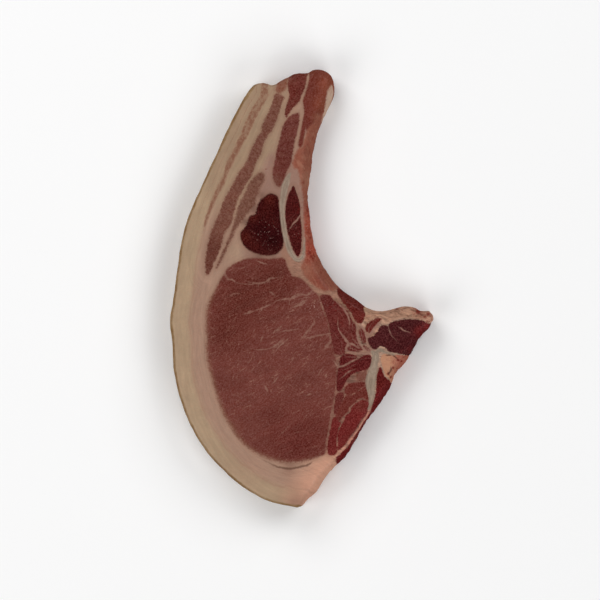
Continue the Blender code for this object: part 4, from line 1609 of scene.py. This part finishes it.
    def tissues(self, drawing: Drawing, rind: np.ndarray) -> tuple[dict, dict]:
        """Work out every attribute that the finishes read.

        Args:
            drawing: Distances on the plan, which drifts with depth as muscles do.
            rind: Distance in from the rind.

        Returns:
            Numbers by name, and linear colours by name.
        """
        plan = drawing.plan
        muscle, numbers, lean_tone = self.muscles(drawing)
        lines = {"thread": (THREADS, 2.5), "crease": (self.cracks, 2.5),
                 "strand": ((STRAND,), 4.0), "skin": ((PALE_SKIN,), 4.0)}
        for name, (threads, reach) in lines.items():
            numbers[name + "_side"], numbers[name + "_half"] = drawing.threads(threads, reach)
        numbers["skin_side"] = np.abs(numbers["skin_side"])
        silver = np.full(len(plan), -FAR)
        for band in SILVERSKIN:
            side, half = drawing.threads((band,), 5.0)
            silver = np.maximum(silver, np.where(half > 0.0, half - np.abs(side), -FAR))
        spots = np.array(BLOOD_SPOTS)
        gaps = np.linalg.norm(plan[:, None] - spots[None, :, :2], axis=2)
        x, y = plan[:, 0], plan[:, 1]
        by_chine = eased(x, 12.0, 18.0) * eased(y, 6.0, -2.0)
        by_bay = eased(np.abs(y - 5.0), 16.0, 10.0) * eased(x, -8.0, -3.0)
        eye = eased(y, 16.0, 10.0) * eased(x, 18.0, 12.0)
        numbers |= {
            "muscle": muscle, "silver": silver, "rind": rind,
            "membrane": drawing.inside(MEMBRANE),
            "blood": (spots[:, 2] - gaps).max(axis=1),
            "bloody": clustered(plan, BLOODY_PATCHES),
            "painted_glints": clustered(plan, PAINTED_GLINTS),
            # where the painted highlights, glints of the wet surface, cluster
            "marble": 0.15 + 0.6 * eye * (1.0 - 0.55 * eased(y, -50.0, -66.0)),
            "marrow": eased(x, 40.5, 44.0),
            "uneven": np.maximum(by_chine, 0.6 * by_bay),
        }
        veil = np.tile(Tissue.MEMBRANE.colour, (len(plan), 1))
        colours = {
            "lean_tone": lean_tone, "fat_tone": self.fat_tones(drawing, rind, muscle),
            "veil_tone": washed(veil, plan, MEMBRANE_WASHES),
        }
        return numbers, colours

    def muscles(self, drawing: Drawing) -> tuple[np.ndarray, dict[str, np.ndarray], np.ndarray]:
        """Work out which muscle each point is in or near.

        Args:
            drawing: Distances on the plan.

        Returns:
            Distance into the nearest muscle, how its edge and inside look, and its tone.
        """
        plan = drawing.plan
        best = np.full(len(plan), -FAR)
        blur = np.full(len(plan), 0.4)
        larded = np.zeros(len(plan))
        tone = np.tile(Tissue.EYE.colour, (len(plan), 1))
        for muscle in MUSCLES:
            depth = drawing.inside(muscle.outline) + muscle.swell
            nearer = depth > best
            best[nearer] = depth[nearer]
            blur[nearer] = muscle.blur
            larded[nearer] = muscle.larded
            tone[nearer] = muscle.tissue.colour
        x, y = plan[:, 0], plan[:, 1]
        fading = np.maximum(eased(x, -20.0, -34.0) * eased(y, 6.0, -6.0),
                            eased(y, -58.0, -70.0) * eased(x, 10.0, 0.0))
        tone = laid(tone, Tissue.EYE_EDGE.colour, 0.55 * fading * eased(best, 2.6, -0.4))
        tone = washed(tone, plan, LEAN_WASHES)
        by_chine = eased(x, 13.0, 18.0) * eased(y, 2.0, -4.0)
        look = {
            "blur": blur + 0.3 * fading,
            "ragged": (0.45 + 1.1 * larded + 0.95 * fading + 0.3 * by_chine
                       + 0.8 * clustered(plan, FRAYED_EDGES)),
            "larded": larded * (1.0 - 0.55 * eased(y, 34.0, 14.0)),
            "pale": np.clip(tone[:, 1] / PALE_GREEN, 0.08, 1.1),
        }
        return best, look, tone

    def fat_tones(self, drawing: Drawing, rind: np.ndarray, muscle: np.ndarray) -> np.ndarray:
        """Tone of the fat: the layers of the back fat, then its zones and washes.

        Args:
            drawing: Distances on the plan.
            rind: Distance in from the rind.
            muscle: Distance into a muscle.

        Returns:
            One linear colour for each point.
        """
        tone = laid(Tissue.OUTER_FAT.colour, Tissue.INNER_FAT.colour, eased(rind, 6.5, 11.0))
        for zone in FAT_ZONES:
            share = eased(drawing.inside(zone.outline), -zone.blur, zone.blur)
            tone = laid(tone, zone.tissue.colour, share)
        back = eased(drawing.plan[:, 0], 14.0, 8.0)
        tone = laid(tone, Tissue.STAINED_FAT.colour, 0.45 * eased(muscle, -2.2, 0.0) * back)
        return washed(tone, drawing.plan, FAT_WASHES)

    def relief(self, drawing: Drawing, places: np.ndarray, normals: np.ndarray,
               numbers: dict[str, np.ndarray]) -> np.ndarray:
        """Depth of the real relief along the normals.

        Args:
            drawing: Distances on the plan.
            places: The mesh's points, in millimetres.
            normals: Their normals.
            numbers: The attributes by name.

        Returns:
            Millimetres to move each point outwards.
        """
        depths = self.depths
        side = 1.0 - np.abs(normals[:, 2])
        fine = rough(places, 2.1, 41.7)
        lift = depths.waves * rough(places * (1.0, 1.0, 0.6), 21.0, 3.1)
        lift += depths.ripples * rough(places, 6.5, 17.3)
        lift += depths.grain * fine
        lift += depths.crown * eased(numbers["muscle"], -0.4, 1.8)
        lift += depths.sheath * eased(numbers["silver"], -0.3, 0.6)
        thread = numbers["thread_half"] - np.abs(numbers["thread_side"])
        lift += depths.thread * eased(thread, -0.5, 0.2)
        crack = numbers["crease_half"] - np.abs(numbers["crease_side"])
        lift -= depths.crack * eased(crack, -0.8, 0.3) * eased(numbers["crease_half"], 0.02, 0.25)
        folds = depths.folds * (rough(places * (1.0, 1.0, 2.4), 7.0, 8.8) + fine)
        lift += folds * side * eased(numbers["membrane"], -1.0, 1.0)
        crumbs = depths.crumbs * rough(places * (1.0, 1.0, 0.5), 3.6, 5.5) + depths.grit * fine
        lift += crumbs * side * eased(drawing.away(SAWN_LINE), 5.0, 3.0)
        scuffs = depths.scuffs * rough(places * (1.0, 1.0, 0.4), 4.2, 23.0)
        lift += scuffs * side * eased(numbers["rind"], 3.0, 1.0)
        if self.tucked:
            over = np.maximum(-drawing.side(SEAM_LINE), drawing.inside(SOCKET))
            lift -= depths.tuck * eased(over, 0.0, 0.5)
        return np.where(normals[:, 2] < -0.5, depths.pressed * np.minimum(lift, 0.0), lift)


class BoneSlice(Slice):
    """The chip of bone and cartilage, with tones of its own."""

    def fat_tones(self, drawing: Drawing, rind: np.ndarray, muscle: np.ndarray) -> np.ndarray:
        """Tone of the bone: cream on the inner side, pinker out to the sawn side."""
        return laid(Tissue.BONE.colour, Tissue.BONE_PINK.colour,
                    eased(drawing.plan[:, 0], 40.0, 46.0))


@dataclass
class Studio:
    """Pale floor, soft lights and the camera straight above.

    Attributes:
        picture: Width and height of the picture on the chop's plane, in metres.
        centre: Where the camera looks, in metres.
        lens: Focal length, in millimetres.
    """

    picture: float = 0.282
    centre: tuple[float, float] = (-0.00083, -0.00528)
    lens: float = 200.0

    def build(self, top: float) -> None:
        """Set up the whole studio.

        Args:
            top: Height of the chop's upper face, in metres.
        """
        self.floor()
        self.lights()
        self.world()
        self.camera(top)

    def floor(self) -> None:
        """A large pale sheet under the chop."""
        shape = bmesh.new()
        bmesh.ops.create_grid(shape, x_segments=8, y_segments=8, size=4.0)
        bmesh.ops.translate(shape, verts=shape.verts[:], vec=(0.0, 0.0, -0.00005))
        mesh = bpy.data.meshes.new("floor")
        shape.to_mesh(mesh)
        shape.free()
        sheet = bpy.data.objects.new("floor", mesh)
        bpy.context.collection.objects.link(sheet)
        material = bpy.data.materials.new("pale_floor")
        material.use_nodes = True
        graph = Graph(material.node_tree)
        shader = material.node_tree.nodes["Principled BSDF"]
        lumps = graph.lumps(graph.place(), 0.02, 2.0)
        graph.feed(shader.inputs["Roughness"], graph.ease(lumps, 0.2, 0.8, 0.85, 0.95))
        shader.inputs["Base Color"].default_value = (0.97, 0.97, 0.97, 1.0)
        shader.inputs["Specular IOR Level"].default_value = 0.1
        mesh.materials.append(material)
        sheet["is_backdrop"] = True

    def lights(self) -> None:
        """Softboxes round the chop, above the level that the wet faces would mirror."""
        for name, turn, lift, power in (("key", 125.0, 44.0, 3.5), ("fill", 35.0, 42.0, 2.8),
                                        ("right", -55.0, 42.0, 2.8), ("low", -145.0, 42.0, 3.0)):
            lamp = bpy.data.lights.new(name, "AREA")
            lamp.shape = "SQUARE"
            lamp.size = 0.55
            lamp.energy = power
            holder = bpy.data.objects.new(name, lamp)
            a, e = math.radians(turn), math.radians(lift)
            way = Vector((math.cos(a) * math.cos(e), math.sin(a) * math.cos(e), math.sin(e)))
            holder.location = way * 0.9
            holder.rotation_euler = way.to_track_quat("Z", "Y").to_euler()
            bpy.context.collection.objects.link(holder)

    def world(self) -> None:
        """A dim room for what the wet surfaces mirror, and a pale one behind the floor."""
        world = bpy.data.worlds.new("room")
        bpy.context.scene.world = world
        world.use_nodes = True
        graph = Graph(world.node_tree)
        back = world.node_tree.nodes["Background"]
        seen = graph.node("ShaderNodeLightPath").outputs["Is Camera Ray"]
        back.inputs["Color"].default_value = (1.0, 1.0, 1.0, 1.0)
        graph.feed(back.inputs["Strength"], graph.ease(seen, 0.0, 1.0, 0.06, 0.95))

    def camera(self, top: float) -> None:
        """The camera, looking straight down."""
        lens = bpy.data.cameras.new("camera")
        lens.lens = self.lens
        lens.sensor_width = 36.0
        holder = bpy.data.objects.new("camera", lens)
        distance = self.picture * self.lens / lens.sensor_width
        holder.location = (*self.centre, top * 0.5 + distance)
        bpy.context.collection.objects.link(holder)
        bpy.context.scene.camera = holder
        settings = bpy.context.scene.view_settings
        settings.view_transform = "Standard"
        settings.look = "None"


def main() -> None:
    """Build the chop's looks round the frame, then the studio."""
    logging.basicConfig(level=logging.INFO, format="%(name)s: %(message)s")
    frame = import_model()
    cad_box = [list(corner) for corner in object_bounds()]
    effects = SharedEffects()
    lean = Slice("lean", "lean_slice", 0.58, ("back_fat", "chine_bone"), spread=1.2,
                 tucked=True)
    fat = Slice("back_fat", "back_fat_slice", 0.56, ("lean",))
    bone = BoneSlice("chine_bone", "chine_bone_chip", 0.4, ("lean",), cracks=SHADE_PAINTED_BONE_CRACK)
    lean.build(frame, FleshFinish("lean_flesh").make(effects))
    fat.build(frame, FleshFinish("back_fat_flesh").make(effects))
    bone.build(frame, BoneFinish("sawn_bone").make(effects))
    Studio().build(cad_box[1][2])


if __name__ == "__main__":
    main()
